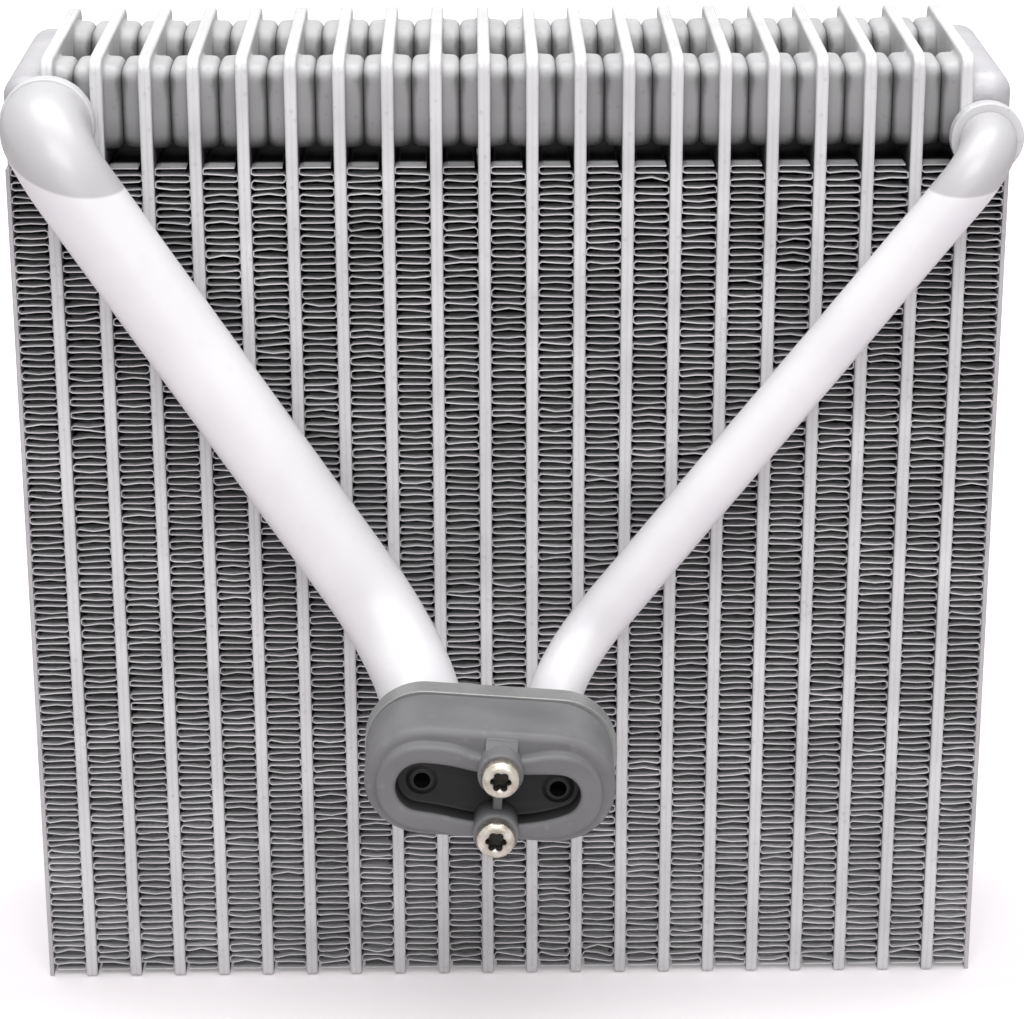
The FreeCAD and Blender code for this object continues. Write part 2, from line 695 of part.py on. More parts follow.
# Sealing rings on the pipe ends inside the cap
def make_seal(label, side, x):
    body = new_body(label)
    outline = new_sketch(body, label + "_section", "XY_Plane")
    middle = "sheet.%s_diameter / 2 + sheet.seal_clearance + sheet.seal_section / 2" % side
    draw_circle(outline, "cord", middle, "0", "sheet.seal_section")
    ring = body.newObject("PartDesign::Revolution", label + "_ring")
    ring.Profile = outline
    ring.ReferenceAxis = (outline, ["V_Axis"])
    ring.Angle = 360
    turn = "cos(sheet.port_tilt)"
    drop = "sin(sheet.port_tilt)"
    place(body, "sheet.port_x + (%s) * %s" % (x, turn),
          "%s - sheet.seal_place" % FLANGE_FRONT,
          "sheet.port_z - (%s) * %s" % (x, drop))
    return keep(body, label)


# Cap screws: round heads with a hexagon socket, two alike
def make_screws():
    screw = new_body("cap_screw_pattern")
    shank = new_sketch(screw, "screw_shank", "XZ_Plane")
    draw_circle(shank, "shank", "0", "0", "sheet.screw_diameter")
    add_pad(screw, shank, "screw_stem", "sheet.screw_length", Reversed=True)
    head = new_sketch(screw, "screw_head_outline", "XZ_Plane")
    draw_circle(head, "head", "0", "0", "sheet.head_diameter")
    add_pad(screw, head, "screw_head", "sheet.head_height")
    key = new_sketch(screw, "screw_key", "XZ_Plane")
    flat = "sheet.key_size / 2"
    tip = "sheet.key_size / sqrt(3)"
    guess = [(2.4, 0), (1.2, 2.1), (-1.2, 2.1), (-2.4, 0), (-1.2, -2.1), (1.2, -2.1)]
    corners = [
        (tip, "0"), ("%s / 2" % tip, flat), ("-%s / 2" % tip, flat),
        ("-" + tip, "0"), ("-%s / 2" % tip, "-" + flat), ("%s / 2" % tip, "-" + flat),
    ]
    draw_polygon(key, "k", guess, corners)
    lift(key, "sheet.head_height")
    add_pocket(screw, key, "screw_socket", "sheet.key_depth")

    pair = []
    for name, z in SCREWS:
        copy = doc.addObject("Part::Compound", "cap_screw_" + name)
        copy.Links = [screw]
        place(copy, "sheet.screw_x", "-(sheet.cap_depth + sheet.boss_height)", z)
        pair.append(copy)
    both = doc.addObject("Part::Compound", "cap_screw_set")
    both.Links = pair
    place_on_flange(both)
    return keep(both, "cap_screws")


# Assembly of the core
plate_pair = make_plate_pair("plate_pair_pattern", True)
end_pair = make_plate_pair("end_pair_pattern", False)
fin = make_fin()
doc.recompute()

for label, sign, side in (("end_tank_left", -1, "suction"), ("end_tank_right", 1, "liquid")):
    dome = make_end_tank(label + "_dome", sign)
    keep(seat_spigot(dome, label, side), label)

pairs = int(size("plate_pairs"))
ends = {1: "suction", pairs: "liquid"}
for number in range(1, pairs + 1):
    label = "plate_pair_%02d" % number
    copy = doc.addObject("Part::Compound", "pair_%02d" % number)
    copy.Links = [end_pair if number in ends else plate_pair]
    if number == pairs:
        copy.Placement = Placement(Vector(0, 0, 0), Rotation(Vector(0, 0, 1), 180))
    place(copy, "(%d - (sheet.plate_pairs + 1) / 2) * sheet.plate_pitch" % number)
    if number in ends:
        copy = seat_spigot(copy, label, ends[number])
    keep(copy, label)

for number in range(1, pairs + 2):
    copy = doc.addObject("Part::Compound", "fin_%02d" % number)
    copy.Links = [fin]
    place(copy, "(%d - (sheet.plate_pairs + 2) / 2) * sheet.plate_pitch" % number)
    keep(copy, "fin_%02d" % number)

make_side_plate("side_plate_left", -1)
make_side_plate("side_plate_right", 1)

make_collar("suction_collar", "suction")
make_collar("liquid_collar", "liquid")
make_pipe("suction_pipe", "suction", -1)
make_pipe("liquid_pipe", "liquid", 1)
make_flange()
make_cap()
for side, x in PORTS:
    make_seal(side + "_seal", side, x)
make_screws()

doc.recompute()


# Checks before anything is written
faults = []
for thing in doc.Objects:
    if "Invalid" in thing.State or "Error" in thing.State:
        faults.append("%s: %s" % (thing.Label, ", ".join(thing.State)))
for piece in pieces:
    shape = piece.Shape
    if shape.isNull() or not shape.isValid() or not shape.Solids:
        faults.append("%s: no valid solid" % piece.Label)
if faults:
    raise RuntimeError("faults in the model: " + "; ".join(faults))

os.makedirs("parts", exist_ok=True)
for piece in pieces:
    piece.Shape.exportStep(os.path.join("parts", piece.Label + ".step"))
total = sum(piece.Shape.Volume for piece in pieces)
print("%d pieces, %.1f cubic centimetres" % (len(pieces), total / 1000))
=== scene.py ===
# %% [markdown]
# # Dressing an evaporator core
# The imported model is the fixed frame: it gives every piece its place and its size. On the
# real object nearly everything is thin aluminium sheet, so the looks come from rounded
# brazed edges, drawn cups and close fins. Each of those is a curved surface that a few
# numbers describe, so it is worked out here as an array of points. That is exact, light
# and easy to change, which pushing single points about by hand isn't.

# %% Load the fixed frame
import math

import bmesh
import bpy
import numpy as np
from mathutils import Matrix


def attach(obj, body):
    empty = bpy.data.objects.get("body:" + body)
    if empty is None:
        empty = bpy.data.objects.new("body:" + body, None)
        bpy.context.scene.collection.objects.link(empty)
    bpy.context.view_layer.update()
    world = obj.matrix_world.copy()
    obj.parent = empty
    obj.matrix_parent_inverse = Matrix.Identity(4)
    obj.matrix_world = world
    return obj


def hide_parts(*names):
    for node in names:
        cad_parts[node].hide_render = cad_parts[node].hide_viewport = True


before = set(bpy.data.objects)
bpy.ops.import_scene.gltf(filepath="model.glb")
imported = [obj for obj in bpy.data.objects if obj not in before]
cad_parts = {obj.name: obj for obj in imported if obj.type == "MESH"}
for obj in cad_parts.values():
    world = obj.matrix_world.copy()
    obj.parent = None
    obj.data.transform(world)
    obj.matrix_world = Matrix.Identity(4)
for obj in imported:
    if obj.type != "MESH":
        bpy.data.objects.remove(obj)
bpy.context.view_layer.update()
MM = 0.001
print("frame of %d nodes" % len(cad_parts))

# %% [markdown]
# ## Camera
# The photographer stood in front of the core and about 20 degrees above it. A camera
# could be placed by eye, but three angles and one point measured from the plates' edges
# make the picture fall exactly where it should.

# %% Camera
EYE = (-0.00916, -0.77266, 0.39604)
LOOK_DOWN, TURN, ROLL = 0.349076, 0.0133205, 0.0017163
LENS = 114.64


def camera_axes(down, turn, roll):
    """Right, up and back axes of a camera turned about Z, tipped down, then rolled."""
    ahead = np.array([math.sin(turn) * math.cos(down),
                      math.cos(turn) * math.cos(down), -math.sin(down)])
    right = np.array([math.cos(turn), -math.sin(turn), 0.0])
    low = np.cross(ahead, right)
    rolled_right = math.cos(roll) * right + math.sin(roll) * low
    rolled_low = math.cos(roll) * low - math.sin(roll) * right
    return np.stack([rolled_right, -rolled_low, -ahead], axis=1)


camera_data = bpy.data.cameras.new("camera")
camera_data.lens = LENS
camera_data.sensor_width = 36.0
camera = bpy.data.objects.new("camera", camera_data)
bpy.context.scene.collection.objects.link(camera)
axes = camera_axes(LOOK_DOWN, TURN, ROLL)
camera.matrix_world = Matrix.Translation(EYE) @ Matrix(axes.tolist()).to_4x4()
bpy.context.scene.camera = camera
print("camera %.0f mm from the core" % (np.linalg.norm(EYE) / MM))

# %% [markdown]
# ## From arrays to pieces
# Every new piece is a grid of points whose rows and columns follow its shape. One helper
# numbers the faces of such a grid, and another turns points and faces into a mesh, turns
# its faces outwards and hangs the piece on the frame.

# %% Grids and pieces
def grid_faces(rows, columns, close_rows=False, close_columns=False, start=0):
    """Quads of a grid numbered row by row. A closed direction joins its last line to its
    first one."""
    row = np.arange(rows if close_rows else rows - 1)[:, None]
    column = np.arange(columns if close_columns else columns - 1)[None, :]
    below = (row + 1) % rows
    beside = (column + 1) % columns
    corners = [row * columns + column, below * columns + column,
               below * columns + beside, row * columns + beside]
    quads = np.stack(np.broadcast_arrays(*corners), axis=-1)
    return (quads.reshape(-1, 4) + start).tolist()


def make_piece(name, points, faces, material, nodes, attributes=None, angle=40.0,
               turn_out=True):
    """Piece from points in millimetres and faces. Edges sharper than angle stay sharp."""
    mesh = bpy.data.meshes.new(name)
    mesh.from_pydata((np.asarray(points) * MM).tolist(), [], faces)
    if turn_out:
        work = bmesh.new()
        work.from_mesh(mesh)
        bmesh.ops.recalc_face_normals(work, faces=work.faces)
        work.to_mesh(mesh)
        work.free()
    mesh.shade_smooth()
    mesh.set_sharp_from_angle(angle=math.radians(angle))
    for title, values in (attributes or {}).items():
        layer = mesh.attributes.new(title, "FLOAT", "POINT")
        layer.data.foreach_set("value", np.asarray(values, np.float32).ravel())
    return hang_piece(name, mesh, material, nodes)


def hang_piece(name, mesh, material, nodes):
    """Object for a mesh, which rides on the part and stands for the nodes."""
    piece = bpy.data.objects.new(name, mesh)
    bpy.context.scene.collection.objects.link(piece)
    mesh.materials.clear()
    mesh.materials.append(material)
    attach(piece, "root")
    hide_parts(*nodes)
    return piece


# %% Outlines
def outline_normals(outline):
    """Outward unit normals of a closed outline that runs anticlockwise."""
    along = np.roll(outline, -1, axis=0) - np.roll(outline, 1, axis=0)
    normal = np.stack([along[:, 1], -along[:, 0]], axis=1)
    return normal / np.linalg.norm(normal, axis=1, keepdims=True)


def round_rectangle(half_wide, half_tall, radius, steps=8):
    """Closed outline of a rectangle with round corners, anticlockwise from the right. The
    radius is one number, or one for each corner from the upper right one on."""
    angle = np.linspace(0.0, math.pi / 2, steps)
    turn = (np.arange(4) * math.pi / 2)[:, None] + angle[None, :]
    side = np.array([1, -1, -1, 1])[:, None]
    rise = np.array([1, 1, -1, -1])[:, None]
    radius = np.broadcast_to(radius, 4)[:, None]
    u = side * (half_wide - radius) + radius * np.cos(turn)
    v = rise * (half_tall - radius) + radius * np.sin(turn)
    return np.stack([u.ravel(), v.ravel()], axis=1)


print("a rounded rectangle has %d points" % len(round_rectangle(9.3, 10.1, 4.0)))

# %% [markdown]
# ## Finishes
# Brazed aluminium is pale and satin: a grey body colour, some metal shine and a fine
# grain from the molten cladding. Several finishes share that grain, so it is one shader
# group with its own scale and strength in each of them. It gives out only a value that
# changes over the surface, and the shader itself stays in every material.

# %% Shader helpers
def add_node(tree, kind, **settings):
    """Shader node with some of its properties set."""
    node = tree.nodes.new(kind)
    for key, value in settings.items():
        setattr(node, key, value)
    return node


def set_inputs(node, **values):
    """Plain values on a node's inputs, with _ for a space in the input's name."""
    for key, value in values.items():
        node.inputs[key.replace("_", " ")].default_value = value


def blend_colours(tree, factor, first, second):
    """Mix node from one colour to another. A colour may be a value or an output."""
    mix = add_node(tree, "ShaderNodeMix", data_type="RGBA")
    for index, colour in ((6, first), (7, second)):
        if isinstance(colour, tuple):
            mix.inputs[index].default_value = (*colour, 1.0)
        else:
            tree.links.new(colour, mix.inputs[index])
    tree.links.new(factor, mix.inputs[0])
    return mix.outputs[2]


def spread_value(tree, source, low, high, to_low, to_high):
    """Map Range node that carries source from one range to another."""
    node = add_node(tree, "ShaderNodeMapRange")
    set_inputs(node, From_Min=low, From_Max=high, To_Min=to_low, To_Max=to_high)
    tree.links.new(source, node.inputs["Value"])
    return node.outputs["Result"]


def join_values(tree, operation, first, second):
    """Math node that joins two outputs."""
    node = add_node(tree, "ShaderNodeMath", operation=operation)
    tree.links.new(first, node.inputs[0])
    tree.links.new(second, node.inputs[1])
    return node.outputs[0]


# %% Brazed grain, shared by the aluminium finishes
def make_grain_group():
    """Grain from fine noise, cloud from coarse noise and pits from scattered cells."""
    group = bpy.data.node_groups.new("brazed_grain", "ShaderNodeTree")
    for title, value in (("Grain Scale", 1500.0), ("Cloud Scale", 60.0), ("Pit Scale", 320.0)):
        socket = group.interface.new_socket(title, in_out="INPUT", socket_type="NodeSocketFloat")
        socket.default_value = value
    for title in ("Grain", "Cloud", "Pits"):
        group.interface.new_socket(title, in_out="OUTPUT", socket_type="NodeSocketFloat")
    entry = group.nodes.new("NodeGroupInput")
    leave = group.nodes.new("NodeGroupOutput")
    place = group.nodes.new("ShaderNodeTexCoord")
    for title in ("Grain", "Cloud"):
        noise = group.nodes.new("ShaderNodeTexNoise")
        noise.inputs["Detail"].default_value = 2.0
        group.links.new(place.outputs["Object"], noise.inputs["Vector"])
        group.links.new(entry.outputs[title + " Scale"], noise.inputs["Scale"])
        group.links.new(noise.outputs["Fac"], leave.inputs[title])
    cells = group.nodes.new("ShaderNodeTexVoronoi")
    group.links.new(place.outputs["Object"], cells.inputs["Vector"])
    group.links.new(entry.outputs["Pit Scale"], cells.inputs["Scale"])
    pits = spread_value(group, cells.outputs["Distance"], 0.10, 0.22, 1.0, 0.0)
    group.links.new(pits, leave.inputs["Pits"])
    return group


brazed_grain = make_grain_group()


# %% A finish of aluminium, with its own colours and numbers
def new_finish(name, metal, rough, coat=0.0, shine=0.5):
    """Empty finish: a material, its node tree and its shader."""
    material = bpy.data.materials.new(name)
    material.use_nodes = True
    tree = material.node_tree
    shader = tree.nodes["Principled BSDF"]
    set_inputs(shader, Metallic=metal, Roughness=rough, Coat_Weight=coat, Coat_Roughness=0.2,
               Specular_IOR_Level=shine)
    return material, tree, shader


def add_bump(tree, shader, height, strength, depth):
    """Bump node from a height to the shader's normal."""
    bump = add_node(tree, "ShaderNodeBump")
    set_inputs(bump, Strength=strength, Distance=depth)
    tree.links.new(height, bump.inputs["Height"])
    tree.links.new(bump.outputs["Normal"], shader.inputs["Normal"])


def aluminium(name, dark, light, metal, rough, bump, scales=(1500.0, 60.0, 320.0), coat=0.0,
              shine=0.5, pits=0.16):
    """Aluminium whose colour drifts from dark to light, with darker pits, and with grain
    in its gloss and, unless bump is 0, in its relief."""
    material, tree, shader = new_finish(name, metal, rough, coat, shine)
    grain = add_node(tree, "ShaderNodeGroup", node_tree=brazed_grain)
    for title, scale in zip(("Grain Scale", "Cloud Scale", "Pit Scale"), scales):
        grain.inputs[title].default_value = scale
    cloud = spread_value(tree, grain.outputs["Cloud"], 0.3, 0.7, 0.0, 1.0)
    colour = blend_colours(tree, cloud, dark, light)
    pitted = spread_value(tree, grain.outputs["Pits"], 0.0, 1.0, 0.0, pits)
    colour = blend_colours(tree, pitted, colour, tuple(0.35 * c for c in dark))
    tree.links.new(colour, shader.inputs["Base Color"])
    gloss = spread_value(tree, grain.outputs["Grain"], 0.25, 0.75, rough - 0.08, rough + 0.1)
    tree.links.new(gloss, shader.inputs["Roughness"])
    if bump:
        add_bump(tree, shader, grain.outputs["Grain"], bump, 0.00012)
    return material, tree, shader, colour


def toned(made, attribute="tone", span=(0.0, 1.0, 0.0, 1.0)):
    """Multiplies a finish's colour by a tone: 1 where the metal is open, lower as painted shade
    in seams and hollows, higher as painted light on some edges and near the floor, and lower on
    the greyer pipe elbows. The mesh holds the tone, or a distance that span turns into it."""
    material, tree, shader, colour = made
    mark = add_node(tree, "ShaderNodeAttribute", attribute_name=attribute)
    scaled = add_node(tree, "ShaderNodeVectorMath", operation="SCALE")
    tree.links.new(colour, scaled.inputs[0])
    tree.links.new(spread_value(tree, mark.outputs["Fac"], *span), scaled.inputs["Scale"])
    tree.links.new(scaled.outputs[0], shader.inputs["Base Color"])
    return material


plate_finish = toned(
    aluminium("plate_aluminium", (0.605, 0.60, 0.61), (0.725, 0.72, 0.73), 0.12, 0.5, 0.35,
              shine=0.3))
fin_finish = toned(
    aluminium("fin_aluminium", (0.60, 0.595, 0.61), (0.78, 0.775, 0.79), 0.4, 0.38, 0.0,
              shine=0.0))
pipe_finish = toned(
    aluminium("pipe_aluminium", (0.78, 0.765, 0.79), (0.85, 0.835, 0.855), 0.1, 0.5, 0.12,
              (900.0, 45.0, 150.0), coat=0.45, pits=0.03), "above", (-0.3, 0.3, 1.0, 0.63))
ring_finish = aluminium(
    "ring_aluminium", (0.61, 0.605, 0.62), (0.71, 0.705, 0.72), 0.2, 0.45, 0.3)[0]
tank_finish = aluminium(
    "tank_aluminium", (0.44, 0.43, 0.45), (0.53, 0.52, 0.54), 0.15, 0.5, 0.3)[0]
flange_finish = aluminium(
    "flange_aluminium", (0.27, 0.275, 0.27), (0.35, 0.355, 0.35), 0.45, 0.42, 0.2)[0]
print("aluminium:", ", ".join(sorted(material.name for material in bpy.data.materials)))

# %% [markdown]
# Moulded plastic, zinc-plated steel and rubber each need something of their own: a faint
# cloudiness and moulding texture, a yellowish metal with fine turning marks, and a dull
# black with dust in it.

# %% Plastic, steel and rubber
def moulded_plastic():
    """Grey plastic with a fine spark-eroded texture and cloudy dust."""
    material, tree, shader = new_finish("cap_plastic", 0.0, 0.46, shine=0.3)
    grain = add_node(tree, "ShaderNodeGroup", node_tree=brazed_grain)
    set_inputs(grain, Grain_Scale=2200.0, Cloud_Scale=90.0, Pit_Scale=260.0)
    cloud = spread_value(tree, grain.outputs["Cloud"], 0.3, 0.7, 0.0, 1.0)
    colour = blend_colours(tree, cloud, (0.148, 0.145, 0.151), (0.186, 0.183, 0.19))
    scuffs = spread_value(tree, grain.outputs["Pits"], 0.0, 1.0, 0.0, 0.07)
    colour = blend_colours(tree, scuffs, colour, (0.5, 0.5, 0.51))
    gloss = spread_value(tree, grain.outputs["Cloud"], 0.3, 0.7, 0.4, 0.54)
    tree.links.new(gloss, shader.inputs["Roughness"])
    add_bump(tree, shader, grain.outputs["Grain"], 0.2, 0.0001)
    return toned((material, tree, shader, colour))


def plated_steel():
    """Bright zinc with a cream tint and rings left by turning."""
    material, tree, shader = new_finish("screw_steel", 0.85, 0.3)
    grain = add_node(tree, "ShaderNodeGroup", node_tree=brazed_grain)
    set_inputs(grain, Grain_Scale=3000.0, Cloud_Scale=420.0, Pit_Scale=900.0)
    cloud = spread_value(tree, grain.outputs["Cloud"], 0.3, 0.7, 0.0, 1.0)
    colour = blend_colours(tree, cloud, (0.42, 0.375, 0.31), (0.70, 0.665, 0.60))
    gloss = spread_value(tree, grain.outputs["Grain"], 0.25, 0.75, 0.2, 0.42)
    tree.links.new(gloss, shader.inputs["Roughness"])
    add_bump(tree, shader, grain.outputs["Grain"], 0.3, 0.00008)
    return toned((material, tree, shader, colour))


def black_rubber():
    """Dull black rubber with a little dust."""
    material, tree, shader = new_finish("seal_rubber", 0.0, 0.6)
    grain = add_node(tree, "ShaderNodeGroup", node_tree=brazed_grain)
    set_inputs(grain, Grain_Scale=1800.0, Cloud_Scale=200.0, Pit_Scale=600.0)
    colour = blend_colours(tree, grain.outputs["Cloud"], (0.012, 0.012, 0.012),
                           (0.05, 0.05, 0.05))
    tree.links.new(colour, shader.inputs["Base Color"])
    add_bump(tree, shader, grain.outputs["Grain"], 0.3, 0.0001)
    return material


cap_finish = moulded_plastic()
screw_finish = plated_steel()
rubber_finish = black_rubber()
print("finishes:", ", ".join(sorted(m.name for m in bpy.data.materials)))

# %% [markdown]
# ## Plate pairs
# Two pressed plates lie face to face and are brazed round their rims, so from the front a
# pair is a narrow strip with two soft edges and a fine seam between them. A box with a
# bevel would miss the seam. Here a small profile of the rim is carried round the plate's
# outline, and the flat sides are filled in.

# %% Rim of a plate pair
THICK = 2.9
PITCH = 11.2
DEPTH = 63.0
TALL = 237.0
RIM_ACROSS = np.array([-1.45, -1.45, -1.38, -1.14, -0.78, -0.36, -0.15, 0.0,
                       0.15, 0.36, 0.78, 1.14, 1.38, 1.45, 1.45])
RIM_INSET = np.array([1.25, 0.66, 0.32, 0.09, 0.0, 0.02, 0.05, 0.11,
                      0.05, 0.02, 0.0, 0.09, 0.32, 0.66, 1.25])
RIM_TONE = np.array([0.0, 0.4, 0.85, 1.0, 1.0, 1.0, 0.97, 0.9,
                     0.97, 1.0, 1.0, 1.0, 0.85, 0.4, 0.0])
SIDE_LEVELS = np.array([206.0, 213.0, 221.0, 231.0])
SIDE_TONE = ((206.0, 214.0, 221.0, 231.0), (0.15, 0.15, 0.5, 0.9))


def plate_outline(foot=1.4, head=3.2, steps=7):
    """Outline of a plate in Y and Z with its outward normals: four corner arcs, small at
    the foot and larger at the head, joined by edges that hold the side levels too."""
    angle = np.linspace(0.0, math.pi / 2, steps)
    turn = (np.arange(4) * math.pi / 2)[:, None] + angle[None, :]
    radius = np.array([head, head, foot, foot])[:, None]
    side = np.array([1, -1, -1, 1])[:, None]
    level = np.array([TALL - head, TALL - head, foot, foot])[:, None]
    y = side * (DEPTH / 2 - radius) + radius * np.cos(turn)
    z = level + radius * np.sin(turn)
    outline = np.stack([y.ravel(), z.ravel()], axis=1)
    normal = np.stack([np.cos(turn).ravel(), np.sin(turn).ravel()], axis=1)
    left = np.stack([0 * SIDE_LEVELS - DEPTH / 2, SIDE_LEVELS[::-1]], axis=1)
    right = np.stack([0 * SIDE_LEVELS + DEPTH / 2, SIDE_LEVELS], axis=1)
    away = np.array([1.0, 0.0]) + 0 * left
    head_points, foot_points = 2 * steps, 4 * steps
    outline = np.concatenate([outline[:head_points], left, outline[head_points:], right])
    normal = np.concatenate([normal[:head_points], -away, normal[head_points:foot_points], away])
    return outline, normal


def plate_sheet():
    """Rim surface: point = outline - inset * normal, at each place across the rim. The
    flat sides are darker low down, where the neighbours shade them."""
    outline, normal = plate_outline()
    rows, columns = len(outline), len(RIM_ACROSS)
    place = outline[:, None, :] - RIM_INSET[None, :, None] * normal[:, None, :]
    across = np.broadcast_to(RIM_ACROSS[None, :, None], (rows, columns, 1))
    points = np.concatenate([across, place], axis=2).reshape(-1, 3)
    faces = grid_faces(rows, columns, close_rows=True)
    near = (6 - np.arange(rows // 2)) % rows * columns
    far = (7 + np.arange(rows // 2)) % rows * columns
    for column in (0, columns - 1):
        rungs = [near[:-1], near[1:], far[1:], far[:-1]]
        faces += (np.stack(rungs, axis=1) + column).tolist()
    side = np.interp(points[:, 2], *SIDE_TONE)
    rim = np.tile(RIM_TONE, rows)
    return points, faces, side + (1.0 - side) * rim


sheet_points, sheet_faces, sheet_tone = plate_sheet()
print("plate sheet: %d points" % len(sheet_points))

# %% [markdown]
# A press draws a cup out of the plate: its wall leaves the plate in a small fillet, leans
# in a little and turns over a soft shoulder to the flat that meets the next cup. Cups
# could be cut from a subdivided box, but the leaning wall and the shoulder are easier to
# state as one rounded outline that shrinks as it moves away from the plate.

# %% Drawn cups
CUP_OUT = np.array([1.40, 1.62, 2.0, 3.0, 3.9, 4.35, 4.7, 5.0, 5.25, 5.45, 5.57, 5.59])
CUP_SHRINK = np.array([-0.6, -0.2, 0.0, 0.05, 0.1, 0.18, 0.34, 0.58, 0.88, 1.24, 1.65, 4.2])
CUP_HALF_DEEP, CUP_HALF_TALL = 9.3, 10.1
CUP_OUTER_ROUND, CUP_INNER_ROUND = 4.0, 6.6
# The belly tone is painted shade under the cups and painted light on their tops; the seam shade
# is painted shade between neighbouring cups.
BELLY_TONE = ((214.6, 216.0, 219.5, 231.8, 234.2), (0.02, 0.16, 0.42, 0.42, 0.70))
SEAM_HALF, SEAM_BULGES, SEAM_SHADE = 0.62, ((230.8, 1.5, 0.75), (215.5, 2.0, 1.5)), 0.5
CUP_Y = DEPTH / 2 - 2.8 - CUP_HALF_DEEP
CUP_Z = TALL - 2.4 - CUP_HALF_TALL


def split_edge(outline, corner, steps=3):
    """Points that divide the straight edge between one round corner and the next."""
    share = np.arange(1, steps)[:, None] / steps
    return outline[corner] + (outline[(corner + 1) % len(outline)] - outline[corner]) * share


def drawn_cup(side, middle_y):
    """Cup surface: outline - shrink * normal in Y and Z, at each distance out in X."""
    right, left = CUP_OUTER_ROUND, CUP_INNER_ROUND
    if middle_y < 0:
        right, left = left, right
    radii = np.array([right, left, left, right])
    outline = round_rectangle(CUP_HALF_DEEP, CUP_HALF_TALL, radii, steps=8)
    outline = np.concatenate([outline, *[split_edge(outline, k) for k in (7, 15, 23, 31)]])
    outline = outline[np.argsort(np.arctan2(outline[:, 1], outline[:, 0]))]
    normal = outline_normals(outline)
    rows, columns = len(CUP_OUT), len(outline)
    flat = outline[None] - CUP_SHRINK[:, None, None] * normal[None]
    flat = flat + np.array([middle_y, CUP_Z])
    out = np.broadcast_to(side * CUP_OUT[:, None, None], (rows, columns, 1))
    points = np.concatenate([out, flat], axis=2).reshape(-1, 3)
    faces = grid_faces(rows, columns, close_columns=True)
    faces.append(list(range(columns)))
    faces.append(list(range((rows - 1) * columns, rows * columns)))
    return points, faces


def cup_tone(points):
    """Tone of the cups, darker than the rim all over: painted shade under the belly, which faces
    the dark fins, painted light on the top, and painted shade in the seam between neighbours,
    which bulges a little below the top and at the foot."""
    out, level = np.abs(points[:, 0]), points[:, 2]
    belly = np.interp(level, *BELLY_TONE)
    wide = SEAM_HALF
    for middle, reach, swell in SEAM_BULGES:
        wide = wide + swell * np.exp(-((level - middle) / reach) ** 2)
    seam = 1 / (1 + np.exp((PITCH / 2 - out - wide) / 0.2))
    return belly * (1 - SEAM_SHADE * seam * np.interp(level, [231.6, 233.2], [1.0, 0.0]))


def join_shells(shells):
    """One list of points and faces from several closed shells."""
    counts = np.cumsum([0] + [len(points) for points, _ in shells])
    faces = [[int(start) + corner for corner in face]
             for (_, listed), start in zip(shells, counts) for face in listed]
    return np.concatenate([points for points, _ in shells]), faces


def plate_pair(number):
    """Sheet and cups of one pair. The first and the last pair have cups on one side."""
    sides = {1: (1,), 20: (-1,)}.get(number, (-1, 1))
    cups = [drawn_cup(side, y) for side in sides for y in (-CUP_Y, CUP_Y)]
    points, faces = join_shells([(sheet_points, sheet_faces)] + cups)
    tone = np.concatenate([sheet_tone, cup_tone(points[len(sheet_points):])])
    shifted = points + np.array([(number - 10.5) * PITCH, 0.0, 0.0])
    name = "plate_pair_%02d" % number
    return make_piece("rim_and_cups_%02d" % number, shifted, faces, plate_finish,
                      [name], {"tone": tone})


pairs = [plate_pair(number) for number in range(1, 21)]
print("%d plate pairs, %d points each" % (len(pairs), len(pairs[1].data.vertices)))

# %% [markdown]
# ## Fins
# Each gap holds one strip of foil folded to and fro some 127 times. Its crests are brazed
# flat to the plates, its edges show as bright lines, and rows of louvres are cut and
# turned in every fold so that air crosses from side to side. An array modifier would make
# all folds alike. Here the folds are arrays with a little unevenness in each, so that the
# light breaks up as it does on real foil.

# %% One folded strip
FIN_LOW, FIN_HIGH = 1.6, 211.0
FIN_HALF = (PITCH - THICK) / 2
FIN_DEEP = DEPTH - 2 * 1.4
FOLDS = 127
FOIL = 0.27
BEND = 0.84
LIP = 1.9
LOUVRE_HALF = 2.9
LOUVRE_PITCH = 1.4
LOUVRE_TILT = math.radians(27)
LOUVRES = 19
UNEVEN = np.array([0.18, 0.13])
CREST_RISE = 0.26


def fold_path(uneven):
    """Path of the foil seen from the front, five points to a fold: the leg's start,
    middle and end, then two points of the crest that lies flat on the plate."""
    step = (FIN_HIGH - FIN_LOW - FOIL) / (FOLDS - 1)
    level = FIN_LOW + FOIL / 2 + step * np.arange(FOLDS)
    side = np.where(np.arange(FOLDS) % 2 == 0, 1.0, -1.0)
    reach = FIN_HALF - BEND
    crest = FIN_HALF - FOIL / 2
    x = np.stack([-reach * side, 0 * side, reach * side, crest * side, crest * side], 1)
    rise = np.array([0.0, 0.0, 0.0, CREST_RISE, step - CREST_RISE])
    z = level[:, None] + rise[None, :]
    z[:, 1] += uneven[:, 0]
    z[:, 0] += uneven[:, 1]
    z[:, 2] -= uneven[:, 1]
    path = np.stack([x.ravel(), z.ravel()], axis=1)[:-2]
    path[:, 1] = np.clip(path[:, 1], FIN_LOW + FOIL / 2, FIN_HIGH - FOIL / 2)
    return path, level


def edge_ribbon(path, near, far):
    """Thick edge of the foil between two depths: a closed four-sided tube whose corners
    lie half a thickness to each side of the path."""
    along = np.gradient(path, axis=0)
    across = np.stack([-along[:, 1], along[:, 0]], axis=1)
    across = across / np.linalg.norm(across, axis=1, keepdims=True) * FOIL / 2
    above, below = path + across, path - across
    corners = [(above, near), (below, near), (below, far), (above, far)]
    rows = [np.stack([p[:, 0], np.full(len(p), y), p[:, 1]], axis=1) for p, y in corners]
    points = np.stack(rows, axis=1).reshape(-1, 3)
    faces = grid_faces(len(path), 4, close_columns=True)
    last = 4 * (len(path) - 1)
    return points, faces + [[3, 2, 1, 0], [last, last + 1, last + 2, last + 3]]


